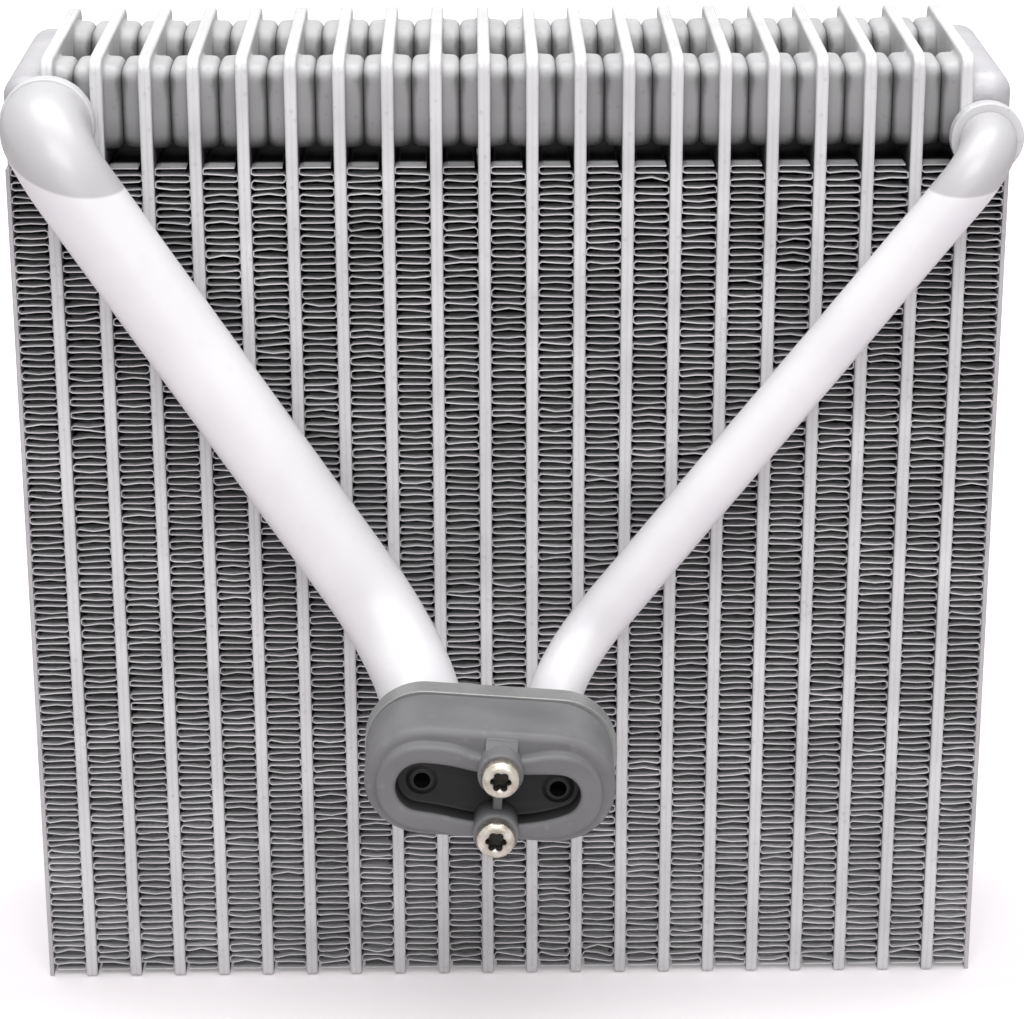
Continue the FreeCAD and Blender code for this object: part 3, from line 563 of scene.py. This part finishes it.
def crest_sheets(path, depths):
    """Plain foil between the edges: the crests, as quads from each depth to the next."""
    start = np.arange(len(path) - 1)
    start = start[(start % 5) >= 2]
    ends = np.stack([path[start], path[start + 1]], axis=1)[:, None, [0, 1, 1, 0]]
    depth = np.stack([depths[:-1]] * 2 + [depths[1:]] * 2, axis=1)[None]
    x, y, z = np.broadcast_arrays(ends[..., 0], depth, ends[..., 1])
    points = np.stack([x, y, z], axis=-1).reshape(-1, 3)
    return points, np.arange(len(points)).reshape(-1, 4).tolist()


def louvre_rows(level, depths):
    """Slats of every leg: each is turned about its own middle, to face forward and up in
    the front bank and back and up in the rear bank, with flat foil between and beside."""
    reach = FIN_HALF - BEND
    near = depths[0]
    bank = near + LOUVRE_PITCH * (0.5 + np.arange(LOUVRES))
    middle = np.concatenate([bank, -bank])
    lean = np.repeat([-LOUVRE_TILT, LOUVRE_TILT], LOUVRES)
    half = LOUVRE_PITCH / 2
    run, rise = half * np.cos(lean), half * np.sin(lean)
    flat = (abs(near) - LOUVRE_PITCH * LOUVRES)
    beside = ((depths[1:] + depths[:-1]) / 2, np.diff(depths) / 2, np.zeros(len(depths) - 1))
    quads = [(-LOUVRE_HALF, LOUVRE_HALF, middle, run, rise),
             (-LOUVRE_HALF, LOUVRE_HALF, np.array([0.0]), np.array([flat]), np.zeros(1)),
             (-reach, -LOUVRE_HALF, *beside), (LOUVRE_HALF, reach, *beside)]
    made = []
    for left, right, centre, half_run, half_rise in quads:
        x = np.broadcast_to(np.array([left, right, right, left]), (len(centre), 4))
        y = np.stack([centre - half_run] * 2 + [centre + half_run] * 2, axis=1)
        z = np.stack([half_rise] * 2 + [-half_rise] * 2, axis=1)
        made.append(np.stack([x, y, z], axis=2))
    one = np.concatenate(made)
    points = one[None] + np.array([0.0, 0.0, 1.0]) * level[:, None, None, None]
    points = points.reshape(-1, 3)
    return points, np.arange(len(points)).reshape(-1, 4).tolist()


# %% [markdown]
# Thumbs and boxes leave marks in soft foil. The photograph shows a few places where folds
# are pressed out of line, so those folds are pushed back and tangled by a few tenths of a
# millimetre, fading away over a centimetre.

# %% Dents
# Each dent has its middle in X and Z, its reach and its depth.
DENTS = ((-32.0, 210.0, 5.0, 0.5), (-101.6, 146.7, 6.0, 0.55), (-90.3, 70.8, 9.0, 0.7),
         (-32.7, 34.7, 11.0, 0.6), (-14.5, 102.3, 7.0, 0.5), (98.3, 101.5, 7.0, 0.5),
         (-83.4, 209.0, 4.0, 0.5), (12.7, 26.0, 8.0, 0.45), (45.5, 31.3, 7.0, 0.4))


def fold_number(points):
    """Number of the fold that each point lies nearest to."""
    step = (FIN_HIGH - FIN_LOW - FOIL) / (FOLDS - 1)
    return np.round((points[:, 2] - FIN_LOW) / step).astype(int).clip(0, FOLDS - 1)


def press_dents(points, shift, chance):
    """Moves points near a dent's middle: back from the front face, and up or down by a
    share that changes from fold to fold."""
    fold = fold_number(points)
    front = np.exp(-((points[:, 1] + FIN_DEEP / 2) / 3.0) ** 2)
    for x, z, reach, depth in DENTS:
        near = (points[:, 0] + shift - x) ** 2 + (points[:, 2] - z) ** 2
        weight = depth * np.exp(-near / reach ** 2) * front
        points[:, 1] += weight * (0.4 + 0.6 * chance[fold])
        points[:, 2] += weight * (chance[fold] - 0.5) * 1.6
    points[:, 2] = points[:, 2].clip(FIN_LOW, FIN_HIGH)
    return points


print("%d dents" % len(DENTS))

# %% [markdown]
# Little light gets in between the folds. Leaving that to the render would need many
# bounces, so each fin also carries a tone that falls over the first few millimetres. The
# top of the fin stays lit up to the shadow of the cups, and near the foot the pale ground
# brightens the folds.

# %% Tone of a fin, and all the fins
SHADE_FROM, SHADE_OVER, SHADE = 0.8, 3.4, 0.97
CUP_SHADOW_FROM, CUP_SHADOW_OVER = 4.6, 1.2
FOOT_TOP, FOOT_TALL = 75.0, 50.0


def fin_tone(points, chance):
    """Tone from the depth behind the nearer face, the height and each fold's chance."""
    inward = FIN_DEEP / 2 - np.abs(points[:, 1])
    deep = ((inward - SHADE_FROM) / SHADE_OVER).clip(0.0, 1.0)
    under_cups = ((inward - CUP_SHADOW_FROM) / CUP_SHADOW_OVER).clip(0.0, 1.0)
    deep = np.where(points[:, 2] > FIN_HIGH - 0.6, under_cups, deep)
    low = ((FOOT_TOP - points[:, 2]) / FOOT_TALL).clip(0.0, 1.0)
    tone = (1.0 - (SHADE - 0.45 * low) * deep) * (0.74 + 0.3 * chance[fold_number(points)])
    return tone * (1.0 + 0.2 * low)


def folded_fin(number):
    """One fin: two thick edges, the crests and the louvres, all along the same folds. The
    depths give the crests and the flat foil points where the tone changes."""
    dice = np.random.default_rng(100 + number)
    uneven = dice.normal(0.0, 1.0, (FOLDS, 2)) * UNEVEN
    uneven[1:4] *= 2.0
    uneven[[0, -1]] = 0.0
    chance = dice.uniform(0.0, 1.0, FOLDS)
    path, level = fold_path(uneven)
    front, inner = -FIN_DEEP / 2, -FIN_DEEP / 2 + LIP
    depths = inner + LOUVRE_PITCH * np.arange(4)
    depths = np.concatenate([depths, -depths[::-1]])
    shells = [edge_ribbon(path, front, inner), edge_ribbon(path, -inner, -front),
              crest_sheets(path, depths), louvre_rows(level + 0.5 * uneven[:, 0], depths)]
    points, faces = join_shells(shells)
    tone = fin_tone(points, chance)
    shift = (number - 11) * PITCH
    points = press_dents(points, shift, chance)
    points = points + np.array([shift, 0.0, 0.0])
    return make_piece("folded_fin_%02d" % number, points, faces, fin_finish,
                      ["fin_%02d" % number], {"tone": tone},
                      angle=50.0, turn_out=False)


fins = [folded_fin(number) for number in range(1, 22)]
print("%d fins, %d faces each" % (len(fins), len(fins[0].data.polygons)))

# %% [markdown]
# ## End tanks, side plates, collars and flange
# These are plain pressings and turned rings, and their solids already have the right
# shape. Only their edges are too sharp to catch light. A copy of each solid is merged into
# one skin and its edges are bevelled, which keeps the size and gives the soft highlights.

# %% Softened copies of solids
def softened(name, node, material, width):
    """Merged copy of a node, with its sharp edges bevelled by width in millimetres."""
    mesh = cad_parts[node].data.copy()
    work = bmesh.new()
    work.from_mesh(mesh)
    bmesh.ops.remove_doubles(work, verts=work.verts, dist=0.002 * MM)
    work.to_mesh(mesh)
    work.free()
    mesh.name = name
    mesh.shade_smooth()
    mesh.set_sharp_from_angle(angle=math.radians(30))
    piece = hang_piece(name, mesh, material, [node])
    bevel = piece.modifiers.new("soft_edges", "BEVEL")
    bevel.width = width * MM
    bevel.segments = 2
    bevel.limit_method = "ANGLE"
    bevel.angle_limit = math.radians(32)
    bevel.harden_normals = True
    return piece


for side in ("left", "right"):
    softened("tank_dome_" + side, "end_tank_" + side, tank_finish, 0.25)
    softened("guard_sheet_" + side, "side_plate_" + side, tank_finish, 0.2)
softened("suction_ring", "suction_collar", ring_finish, 0.25)
softened("liquid_ring", "liquid_collar", ring_finish, 0.25)
softened("pipe_flange", "connection_flange", flange_finish, 0.25)
print("seven softened copies")

# %% [markdown]
# ## Pipes
# Each pipe is a drawn tube bent twice in one plane. A bevelled curve would do, but a
# computed sweep has an inner wall, an even spacing round the bends and a place to write
# where the tube is a little greyer than the rest.

# %% Bent tubes
def bent_line(corners, radii, step=2.5):
    """Centre line through corners with an arc of the given radius at each inner one, and
    close points on the first stretch after an arc. Returns points and unit tangents."""
    corners = np.asarray(corners, float)
    ahead = np.diff(corners, axis=0)
    ahead = ahead / np.linalg.norm(ahead, axis=1, keepdims=True)
    places, tangents = [corners[:1]], [ahead[:1]]
    for k, radius in enumerate(radii, start=1):
        turn = math.acos(float(ahead[k - 1] @ ahead[k]))
        reach = radius * math.tan(turn / 2)
        first = corners[k] - ahead[k - 1] * reach
        inward = ahead[k] - ahead[k - 1] * math.cos(turn)
        inward = inward / np.linalg.norm(inward)
        angle = np.linspace(0.0, turn, max(8, int(radius * turn / step * 1.6)))[:, None]
        arc = first + radius * (np.sin(angle) * ahead[k - 1] + (1 - np.cos(angle)) * inward)
        places.append(arc)
        tangents.append(np.cos(angle) * ahead[k - 1] + np.sin(angle) * inward)
        run = 3.0 * np.arange(1, 6)[:, None]
        places.append(arc[-1:] + run * ahead[k])
        tangents.append(np.repeat(ahead[k:k + 1], len(run), axis=0))
    places.append(corners[-1:])
    tangents.append(ahead[-1:])
    return np.concatenate(places), np.concatenate(tangents)


def bent_tube(corners, radii, radius, wall, flare, around=56):
    """Tube surface: centre + r * (cos a * side + sin a * level), out along the outer wall
    and back along the inner wall. Near its first end the outer wall is wider by flare."""
    centre, tangent = bent_line(corners, radii)
    travel = np.linalg.norm(np.diff(centre, axis=0, prepend=centre[:1]), axis=1).cumsum()
    swell = flare * (1.0 - ((travel - 9.0) / 14.0).clip(0.0, 1.0)) ** 2
    level = np.cross(tangent[0], tangent[len(tangent) // 2])
    level = level / np.linalg.norm(level)
    side = np.cross(level[None], tangent)
    both = np.concatenate([centre, centre[::-1]])
    sides = np.concatenate([side, side[::-1]])
    wide = np.concatenate([radius + swell, np.full(len(centre), radius - wall)])
    angle = np.linspace(0.0, 2 * math.pi, around, endpoint=False)
    ring = np.cos(angle)[None, :, None] * sides[:, None] + np.sin(angle)[None, :, None] * level
    points = both[:, None] + wide[:, None, None] * ring
    faces = grid_faces(len(both), around, close_rows=True, close_columns=True)
    return points.reshape(-1, 3), faces


TILT = math.radians(4.4)
PORT_HALF = 15.2
PORT_MIDDLE = (-5.35, -93.5, 90.5)
TUBE_TIP = -107.0


def port_place(side):
    """X and Z of one port, left or right of the flange's middle."""
    return (PORT_MIDDLE[0] + side * PORT_HALF * math.cos(TILT),
            PORT_MIDDLE[2] - side * PORT_HALF * math.sin(TILT))


def pipe_piece(name, node, side, top, plane, radii, radius, flare, grey_level, grey_lean):
    """One pipe from its collar down to its port. Its above attribute is the height over
    the line above which it is greyer: level - lean * run + 0.012 * (run - 8) ^ 2, where
    run is the distance in X from the collar towards the ports."""
    low_x, low_z = port_place(side)
    corners = [(top[0], -32.6, top[1]), (top[0], plane, top[1]),
               (low_x, plane, low_z), (low_x, TUBE_TIP, low_z)]
    points, faces = bent_tube(corners, radii, radius, 1.2, flare)
    run = -side * (points[:, 0] - top[0])
    above = points[:, 2] - grey_level + grey_lean * run - 0.012 * (run - 8.0) ** 2
    return make_piece(name, points, faces, pipe_finish, [node],
                      {"above": above}, angle=60.0)


# The level and lean set the line above which each pipe's elbow is greyer.
suction = pipe_piece("bent_suction_pipe", "suction_pipe", -1, (-106.4, 222.4), -49.5,
                     (14.0, 28.0), 9.525, 0.95, 212.8, 0.16)
liquid = pipe_piece("bent_liquid_pipe", "liquid_pipe", 1, (111.0, 218.2), -47.5,
                    (11.8, 20.0), 6.35, 0.2, 209.0, 0.0)
print("pipes of %d and %d points" % (len(suction.data.vertices), len(liquid.data.vertices)))

# %% [markdown]
# ## Transport cap
# The moulded cap keeps dirt out of the open pipes. Its skin runs from the back edge over
# a round shoulder to a raised rim, then down into a recess shaped like spectacles. Cutting
# it from blocks would leave hard corners everywhere. One skin of closed outlines, each
# offset and set forward a little more than the last, gives every round at once.

# %% Outlines of the cap
def port_arc(side, radius, lean, steps=22):
    """Half circle round a port, from its lower to its upper end on the right and the
    other way on the left, both leaning inwards by the angle lean."""
    angle = np.linspace(-math.pi / 2 + lean, math.pi / 2 + lean, steps)
    if side < 0:
        angle = np.linspace(math.pi / 2 - lean, 3 * math.pi / 2 - lean, steps)
    return np.stack([side * PORT_HALF + radius * np.cos(angle), radius * np.sin(angle)], 1)


def cap_outline(right_radius, left_radius, waist=None, sag=None, middle=1.85, steps=22):
    """Closed outline round both ports, anticlockwise. Without a waist it is a plain slot.
    With one, the upper side dips to the waist and the lower side hangs to the sag."""
    lean = 0.0 if waist is None else math.radians(8)
    right, left = port_arc(1, right_radius, lean), port_arc(-1, left_radius, lean)
    share = np.linspace(0.0, 1.0, steps)[1:-1]
    sides = []
    for start, end, level in ((right[-1], left[0], waist), (left[-1], right[0], sag)):
        x = start[0] + (end[0] - start[0]) * share
        line = start[1] + (end[1] - start[1]) * share
        if level is not None:
            aim = math.copysign(level, start[1])
            span = abs(start[0] - middle)
            near = np.clip((np.abs(x - middle) - 3.0) / (span - 3.0), 0.0, 1.0)
            line = aim + (line - aim) * near ** 2 * (3 - 2 * near)
        sides.append(np.stack([x, line], axis=1))
    outline = np.concatenate([right, sides[0], left, sides[1]])
    for _ in range(3):
        outline = (np.roll(outline, 1, 0) + 2 * outline + np.roll(outline, -1, 0)) / 4
    return outline


def on_flange(u, w, forward):
    """Points of the tilted frame between the ports, whose front face is at forward 0."""
    x = PORT_MIDDLE[0] + u * math.cos(TILT) + w * math.sin(TILT)
    z = PORT_MIDDLE[2] - u * math.sin(TILT) + w * math.cos(TILT)
    return np.stack([x, PORT_MIDDLE[1] - forward + 0 * u, z], axis=-1)


# Each row has its outline, how far it lies in from that and its forward place.
CAP_SKIN = (
    ("slot", 0.5, 0.0), ("slot", 0.12, 0.12), ("slot", 0.0, 0.5), ("slot", 0.0, 17.8),
    ("slot", 0.1, 18.5), ("slot", 0.42, 19.2), ("slot", 0.95, 19.7), ("slot", 1.8, 20.0),
    ("rim", -0.7, 20.0), ("rim", -0.22, 20.14), ("rim", 0.0, 20.6), ("rim", 0.05, 22.0),
    ("rim", 0.2, 22.5), ("rim", 0.55, 22.87), ("rim", 1.05, 23.0),
    ("recess", -1.2, 23.0), ("recess", -0.6, 22.88), ("recess", -0.18, 22.5),
    ("recess", 0.0, 21.9), ("recess", 0.2, 18.7), ("recess", 0.4, 18.2), ("recess", 0.9, 18.0),
)
OUTLINES = {
    "slot": cap_outline(13.1, 13.1),
    "rim": cap_outline(10.0, 10.3, 8.0, 11.2),
    "recess": cap_outline(5.0, 5.9, 4.3, 7.6),
}


def cap_shell():
    """Skin of the cap: each row is an outline moved in along its normals and forward."""
    rows = []
    for kind, inset, forward in CAP_SKIN:
        flat = OUTLINES[kind] - inset * outline_normals(OUTLINES[kind])
        rows.append(on_flange(flat[:, 0], flat[:, 1], forward))
    count, columns = len(rows), len(rows[0])
    faces = grid_faces(count, columns, close_columns=True)
    faces.append(list(range(columns)))
    faces.append(list(range((count - 1) * columns, count * columns)))
    return np.concatenate(rows), faces


# %% Turned shapes on the cap and the screws
def turned(profile, u=0.0, w=0.0, around=48, star=None):
    """Shape turned about an axis through the flange frame: the profile's rows give
    radius and forward place, and star adds lobes to the radius of some rows."""
    profile = np.asarray(profile, float)
    angle = np.linspace(0.0, 2 * math.pi, around, endpoint=False)
    radius = profile[:, :1] + np.zeros((1, around))
    if star is not None:
        radius = radius + np.asarray(star, float)[:, None] * np.cos(6 * angle)[None, :]
    flat_u, flat_w = u + radius * np.cos(angle), w + radius * np.sin(angle)
    points = on_flange(flat_u, flat_w, profile[:, 1:2]).reshape(-1, 3)
    faces = grid_faces(len(profile), around, close_columns=True)
    faces.append(list(range(around)))
    faces.append(list(range((len(profile) - 1) * around, len(profile) * around)))
    return points, faces


def soft_block(u0, u1, w0, w1, low, high, round_by=0.45):
    """Block with round edges: a rounded rectangle that shrinks over its last rows. High
    holds the forward place of the top at w0 and at w1."""
    outline = round_rectangle((u1 - u0) / 2, (w1 - w0) / 2, round_by * 1.4, steps=4)
    normal = outline_normals(outline)
    slope = (outline[:, 1] / (w1 - w0) + 0.5)
    top = high[0] + (high[1] - high[0]) * slope
    rows = [(0.0, low + 0 * top), (0.0, top - round_by),
            (0.3 * round_by, top - 0.3 * round_by), (round_by, top)]
    points = []
    for inset, forward in rows:
        flat = outline - inset * normal + np.array([(u0 + u1) / 2, (w0 + w1) / 2])
        points.append(on_flange(flat[:, 0], flat[:, 1], forward))
    count = len(outline)
    faces = grid_faces(len(rows), count, close_columns=True)
    faces.append(list(range(count)))
    faces.append(list(range(3 * count, 4 * count)))
    return np.concatenate(points), faces


SCREW_U = 1.85
SCREW_W = (5.7, -8.8)
BOSS = ((5.2, 17.2), (5.1, 25.6), (4.98, 25.98), (4.7, 26.2))
VENT_RING = ((1.9, 17.0), (3.7, 17.0), (3.7, 17.98), (3.3, 18.12), (2.85, 18.5), (2.4, 18.7),
             (1.9, 18.62))


def ring_shell(profile, u, w, around=48):
    """Ring whose profile closes on itself, such as the collar round a vent."""
    points = turned(profile, u, w, around)[0]
    return points, grid_faces(len(profile), around, close_rows=True, close_columns=True)


def plain_object(name, points, faces):
    """Mesh object that is only used while a piece is being made."""
    mesh = bpy.data.meshes.new(name)
    mesh.from_pydata((np.asarray(points) * MM).tolist(), [], faces)
    work = bmesh.new()
    work.from_mesh(mesh)
    bmesh.ops.recalc_face_normals(work, faces=work.faces)
    work.to_mesh(mesh)
    work.free()
    thing = bpy.data.objects.new(name, mesh)
    bpy.context.scene.collection.objects.link(thing)
    return thing


def bored(thing, cutters):
    """Mesh of thing after each cutter is taken away from it."""
    for cutter in cutters:
        cut = thing.modifiers.new(cutter.name, "BOOLEAN")
        cut.object = cutter
        cut.solver = "EXACT"
    bpy.context.view_layer.update()
    graph = bpy.context.evaluated_depsgraph_get()
    mesh = bpy.data.meshes.new_from_object(thing.evaluated_get(graph))
    for used in [thing, *cutters]:
        bpy.data.objects.remove(used)
    return mesh


def mesh_shell(mesh):
    """Points in millimetres and faces of a mesh."""
    flat = np.empty(len(mesh.vertices) * 3)
    mesh.vertices.foreach_get("co", flat)
    return flat.reshape(-1, 3) / MM, [list(face.vertices) for face in mesh.polygons]


def cap_tone(points):
    """Tone of the cap: a painted highlight on the edges of shoulder and rim, a painted shadow at
    the joint to the flange, and painted shade that deepens inside the recess, most near the web.
    A point is inside where a line to its right crosses the recess outline an odd number of
    times."""
    offset = points - np.array(PORT_MIDDLE)
    u = offset[:, 0] * math.cos(TILT) - offset[:, 2] * math.sin(TILT)
    w = offset[:, 0] * math.sin(TILT) + offset[:, 2] * math.cos(TILT)
    start = OUTLINES["recess"] + 0.1 * outline_normals(OUTLINES["recess"])
    end = np.roll(start, -1, axis=0)
    spans = (start[None, :, 1] > w[:, None]) != (end[None, :, 1] > w[:, None])
    slope = (end[:, 0] - start[:, 0]) / (end[:, 1] - start[:, 1] + 1e-9)
    cross = start[None, :, 0] + (w[:, None] - start[None, :, 1]) * slope[None, :]
    inside = (spans & (cross > u[:, None])).sum(axis=1) % 2
    forward = -offset[:, 1]
    deep = ((22.85 - forward) / 1.2).clip(0.0, 1.0)
    near_web = np.exp(-((u - SCREW_U) / 7.5) ** 2)
    # Painted shadow at the joint to the flange, then a painted highlight on the shoulder and rim
    # edges.
    joint = 0.7 * (forward < 0.3)
    edge_highlight = 0.35 * np.exp(-((forward - 19.4) / 0.35) ** 2)
    edge_highlight = edge_highlight + 0.25 * np.exp(-((forward - 22.6) / 0.3) ** 2)
    hollow = (0.93 + 0.05 * near_web) * deep * inside
    return (1.0 - hollow) * (1.0 - joint) * (1.0 + edge_highlight)


body = plain_object("cap_body", *cap_shell())
drills = [plain_object("vent_%d" % k, *turned(((1.9, 9.0), (1.9, 19.5)), side * PORT_HALF))
          for k, side in enumerate((-1, 1))]
shells = [mesh_shell(bored(body, drills))]
shells += [turned(BOSS, SCREW_U, w) for w in SCREW_W]
shells += [ring_shell(VENT_RING, side * PORT_HALF, 0.0) for side in (-1, 1)]
shells.append(soft_block(SCREW_U - 1.0, SCREW_U + 1.0, -8.8, 5.7, 17.0, (23.2, 23.2)))
shells.append(soft_block(SCREW_U - 3.65, SCREW_U + 3.65, 5.0, 11.9, 18.0, (25.4, 20.5)))
cap_points, cap_faces = join_shells(shells)
cap = make_piece("moulded_cap", cap_points, cap_faces, cap_finish,
                 ["transport_cap"], {"tone": cap_tone(cap_points)}, angle=38.0)
print("cap of %d faces" % len(cap.data.polygons))

# %% [markdown]
# ## Screws
# Two screws with round flat heads and star sockets hold the cap. One turned profile makes
# shank, head and socket, and the socket's rows carry six lobes.

# %% Star-socket screws
SCREW_HEAD = 4.3
SCREW_AROUND = 72
SCREW_PROFILE = ((2.0, -5.8), (2.5, -5.2), (2.5, 26.15), (4.05, 26.15), (SCREW_HEAD, 26.4),
                 (SCREW_HEAD, 28.0), (4.2, 28.7), (3.9, 29.2), (3.4, 29.5), (2.9, 29.6),
                 (2.25, 29.5), (2.05, 29.2), (1.95, 27.0), (1.2, 26.9))
SCREW_STAR = (0, 0, 0, 0, 0, 0, 0, 0, 0, 0, 0.14, 0.32, 0.32, 0.1)
# SCREW_TONE is painted shade on the underside and side of the head and deep in the socket.
SCREW_TONE = (1, 1, 1, 0.8, 0.8, 0.85, 1, 1, 1, 1, 0.8, 0.35, 0.06, 0.06)
shells = [turned(SCREW_PROFILE, SCREW_U, w, SCREW_AROUND, SCREW_STAR) for w in SCREW_W]
screw_points, screw_faces = join_shells(shells)
screw_tone = np.tile(np.repeat(SCREW_TONE, SCREW_AROUND), len(SCREW_W))
screws = make_piece("star_screws", screw_points, screw_faces, screw_finish,
                    ["cap_screws"], {"tone": screw_tone}, angle=45.0)
print("two screws, %.1f mm across" % (2 * SCREW_HEAD))

# %% Rubber on the two seals
for port in ("suction", "liquid"):
    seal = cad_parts[port + "_seal"]
    seal.data.materials.clear()
    seal.data.materials.append(rubber_finish)
print("rubber on two seals")

# %% [markdown]
# ## Studio
# The photograph has a white ground, broad light from above and soft light from the front.
# The world is white for the camera and for reflections but gives less light than that, so
# that hollows stay dark. The floor takes the object's soft shadow.

# %% World, floor and lamps
AMBIENT = 0.34
FLOOR_REACH = 3.0


def make_world():
    """White where it is seen, and weaker where it only lights."""
    world = bpy.data.worlds.new("studio")
    bpy.context.scene.world = world
    world.use_nodes = True
    tree = world.node_tree
    path = tree.nodes.new("ShaderNodeLightPath").outputs
    seen = join_values(tree, "MAXIMUM", path["Is Camera Ray"], path["Is Glossy Ray"])
    seen = join_values(tree, "MAXIMUM", seen, path["Is Transmission Ray"])
    strength = spread_value(tree, seen, 0.0, 1.0, AMBIENT, 1.0)
    back = tree.nodes["Background"]
    back.inputs["Color"].default_value = (1.0, 1.0, 1.0, 1.0)
    tree.links.new(strength, back.inputs["Strength"])


def make_floor():
    """White floor, wide enough to pass out of sight, with a faint unevenness. It glows a
    little for the camera, more behind the core and in front of its shadow."""
    mesh = bpy.data.meshes.new("floor")
    corners = [(-FLOOR_REACH, -FLOOR_REACH, 0), (FLOOR_REACH, -FLOOR_REACH, 0),
               (FLOOR_REACH, FLOOR_REACH, 0), (-FLOOR_REACH, FLOOR_REACH, 0)]
    mesh.from_pydata(corners, [], [(0, 1, 2, 3)])
    floor = bpy.data.objects.new("floor", mesh)
    bpy.context.scene.collection.objects.link(floor)
    material, tree, shader = new_finish("floor_white", 0.0, 0.9)
    place = tree.nodes.new("ShaderNodeTexCoord")
    noise = tree.nodes.new("ShaderNodeTexNoise")
    set_inputs(noise, Scale=6.0)
    tree.links.new(place.outputs["Object"], noise.inputs["Vector"])
    colour = blend_colours(tree, noise.outputs["Fac"], (0.77, 0.73, 0.75), (0.80, 0.76, 0.78))
    tree.links.new(colour, shader.inputs["Base Color"])
    set_inputs(shader, Specular_IOR_Level=0.0)
    glow = tree.nodes.new("ShaderNodeEmission")
    set_inputs(glow, Color=(1.0, 0.985, 0.99, 1.0))
    path = tree.nodes.new("ShaderNodeLightPath")
    apart = tree.nodes.new("ShaderNodeSeparateXYZ")
    tree.links.new(place.outputs["Object"], apart.inputs[0])
    behind = spread_value(tree, apart.outputs["Y"], -0.05, 0.5, 0.2, 0.9)
    before = spread_value(tree, apart.outputs["Y"], -0.06, -0.038, 0.14, 0.0)
    total = join_values(tree, "ADD", behind, before)
    share = join_values(tree, "MULTIPLY", path.outputs["Is Camera Ray"], total)
    tree.links.new(share, glow.inputs["Strength"])
    both = tree.nodes.new("ShaderNodeAddShader")
    tree.links.new(shader.outputs[0], both.inputs[0])
    tree.links.new(glow.outputs[0], both.inputs[1])
    tree.links.new(both.outputs[0], tree.nodes["Material Output"].inputs["Surface"])
    mesh.materials.append(material)


def soft_lamp(name, place, aim, wide, tall, power):
    """Area lamp at place that faces aim."""
    data = bpy.data.lights.new(name, "AREA")
    data.shape = "RECTANGLE"
    data.size, data.size_y, data.energy = wide, tall, power
    lamp = bpy.data.objects.new(name, data)
    bpy.context.scene.collection.objects.link(lamp)
    back = np.asarray(place, float) - np.asarray(aim, float)
    back = back / np.linalg.norm(back)
    right = np.cross((0.0, 0.0, 1.0) if abs(back[2]) < 0.99 else (0.0, 1.0, 0.0), back)
    right = right / np.linalg.norm(right)
    turn = np.stack([right, np.cross(back, right), back], axis=1)
    lamp.matrix_world = Matrix.Translation(place) @ Matrix(turn.tolist()).to_4x4()


make_world()
make_floor()
CORE = (0.0, 0.0, 0.14)
soft_lamp("top_light", (0.0, 0.12, 1.15), (0.0, 0.0, 0.2), 1.2, 0.5, 8.5)
soft_lamp("key_light", (0.0, -1.15, 1.35), CORE, 1.2, 0.7, 12.2)
soft_lamp("high_light", (0.0, -0.45, 1.5), CORE, 1.2, 0.7, 3.0)
soft_lamp("front_light", (0.1, -1.7, 0.55), CORE, 1.5, 0.6, 4.2)
bpy.context.scene.view_settings.view_transform = "Standard"
print("%d lamps" % len(bpy.data.lights))
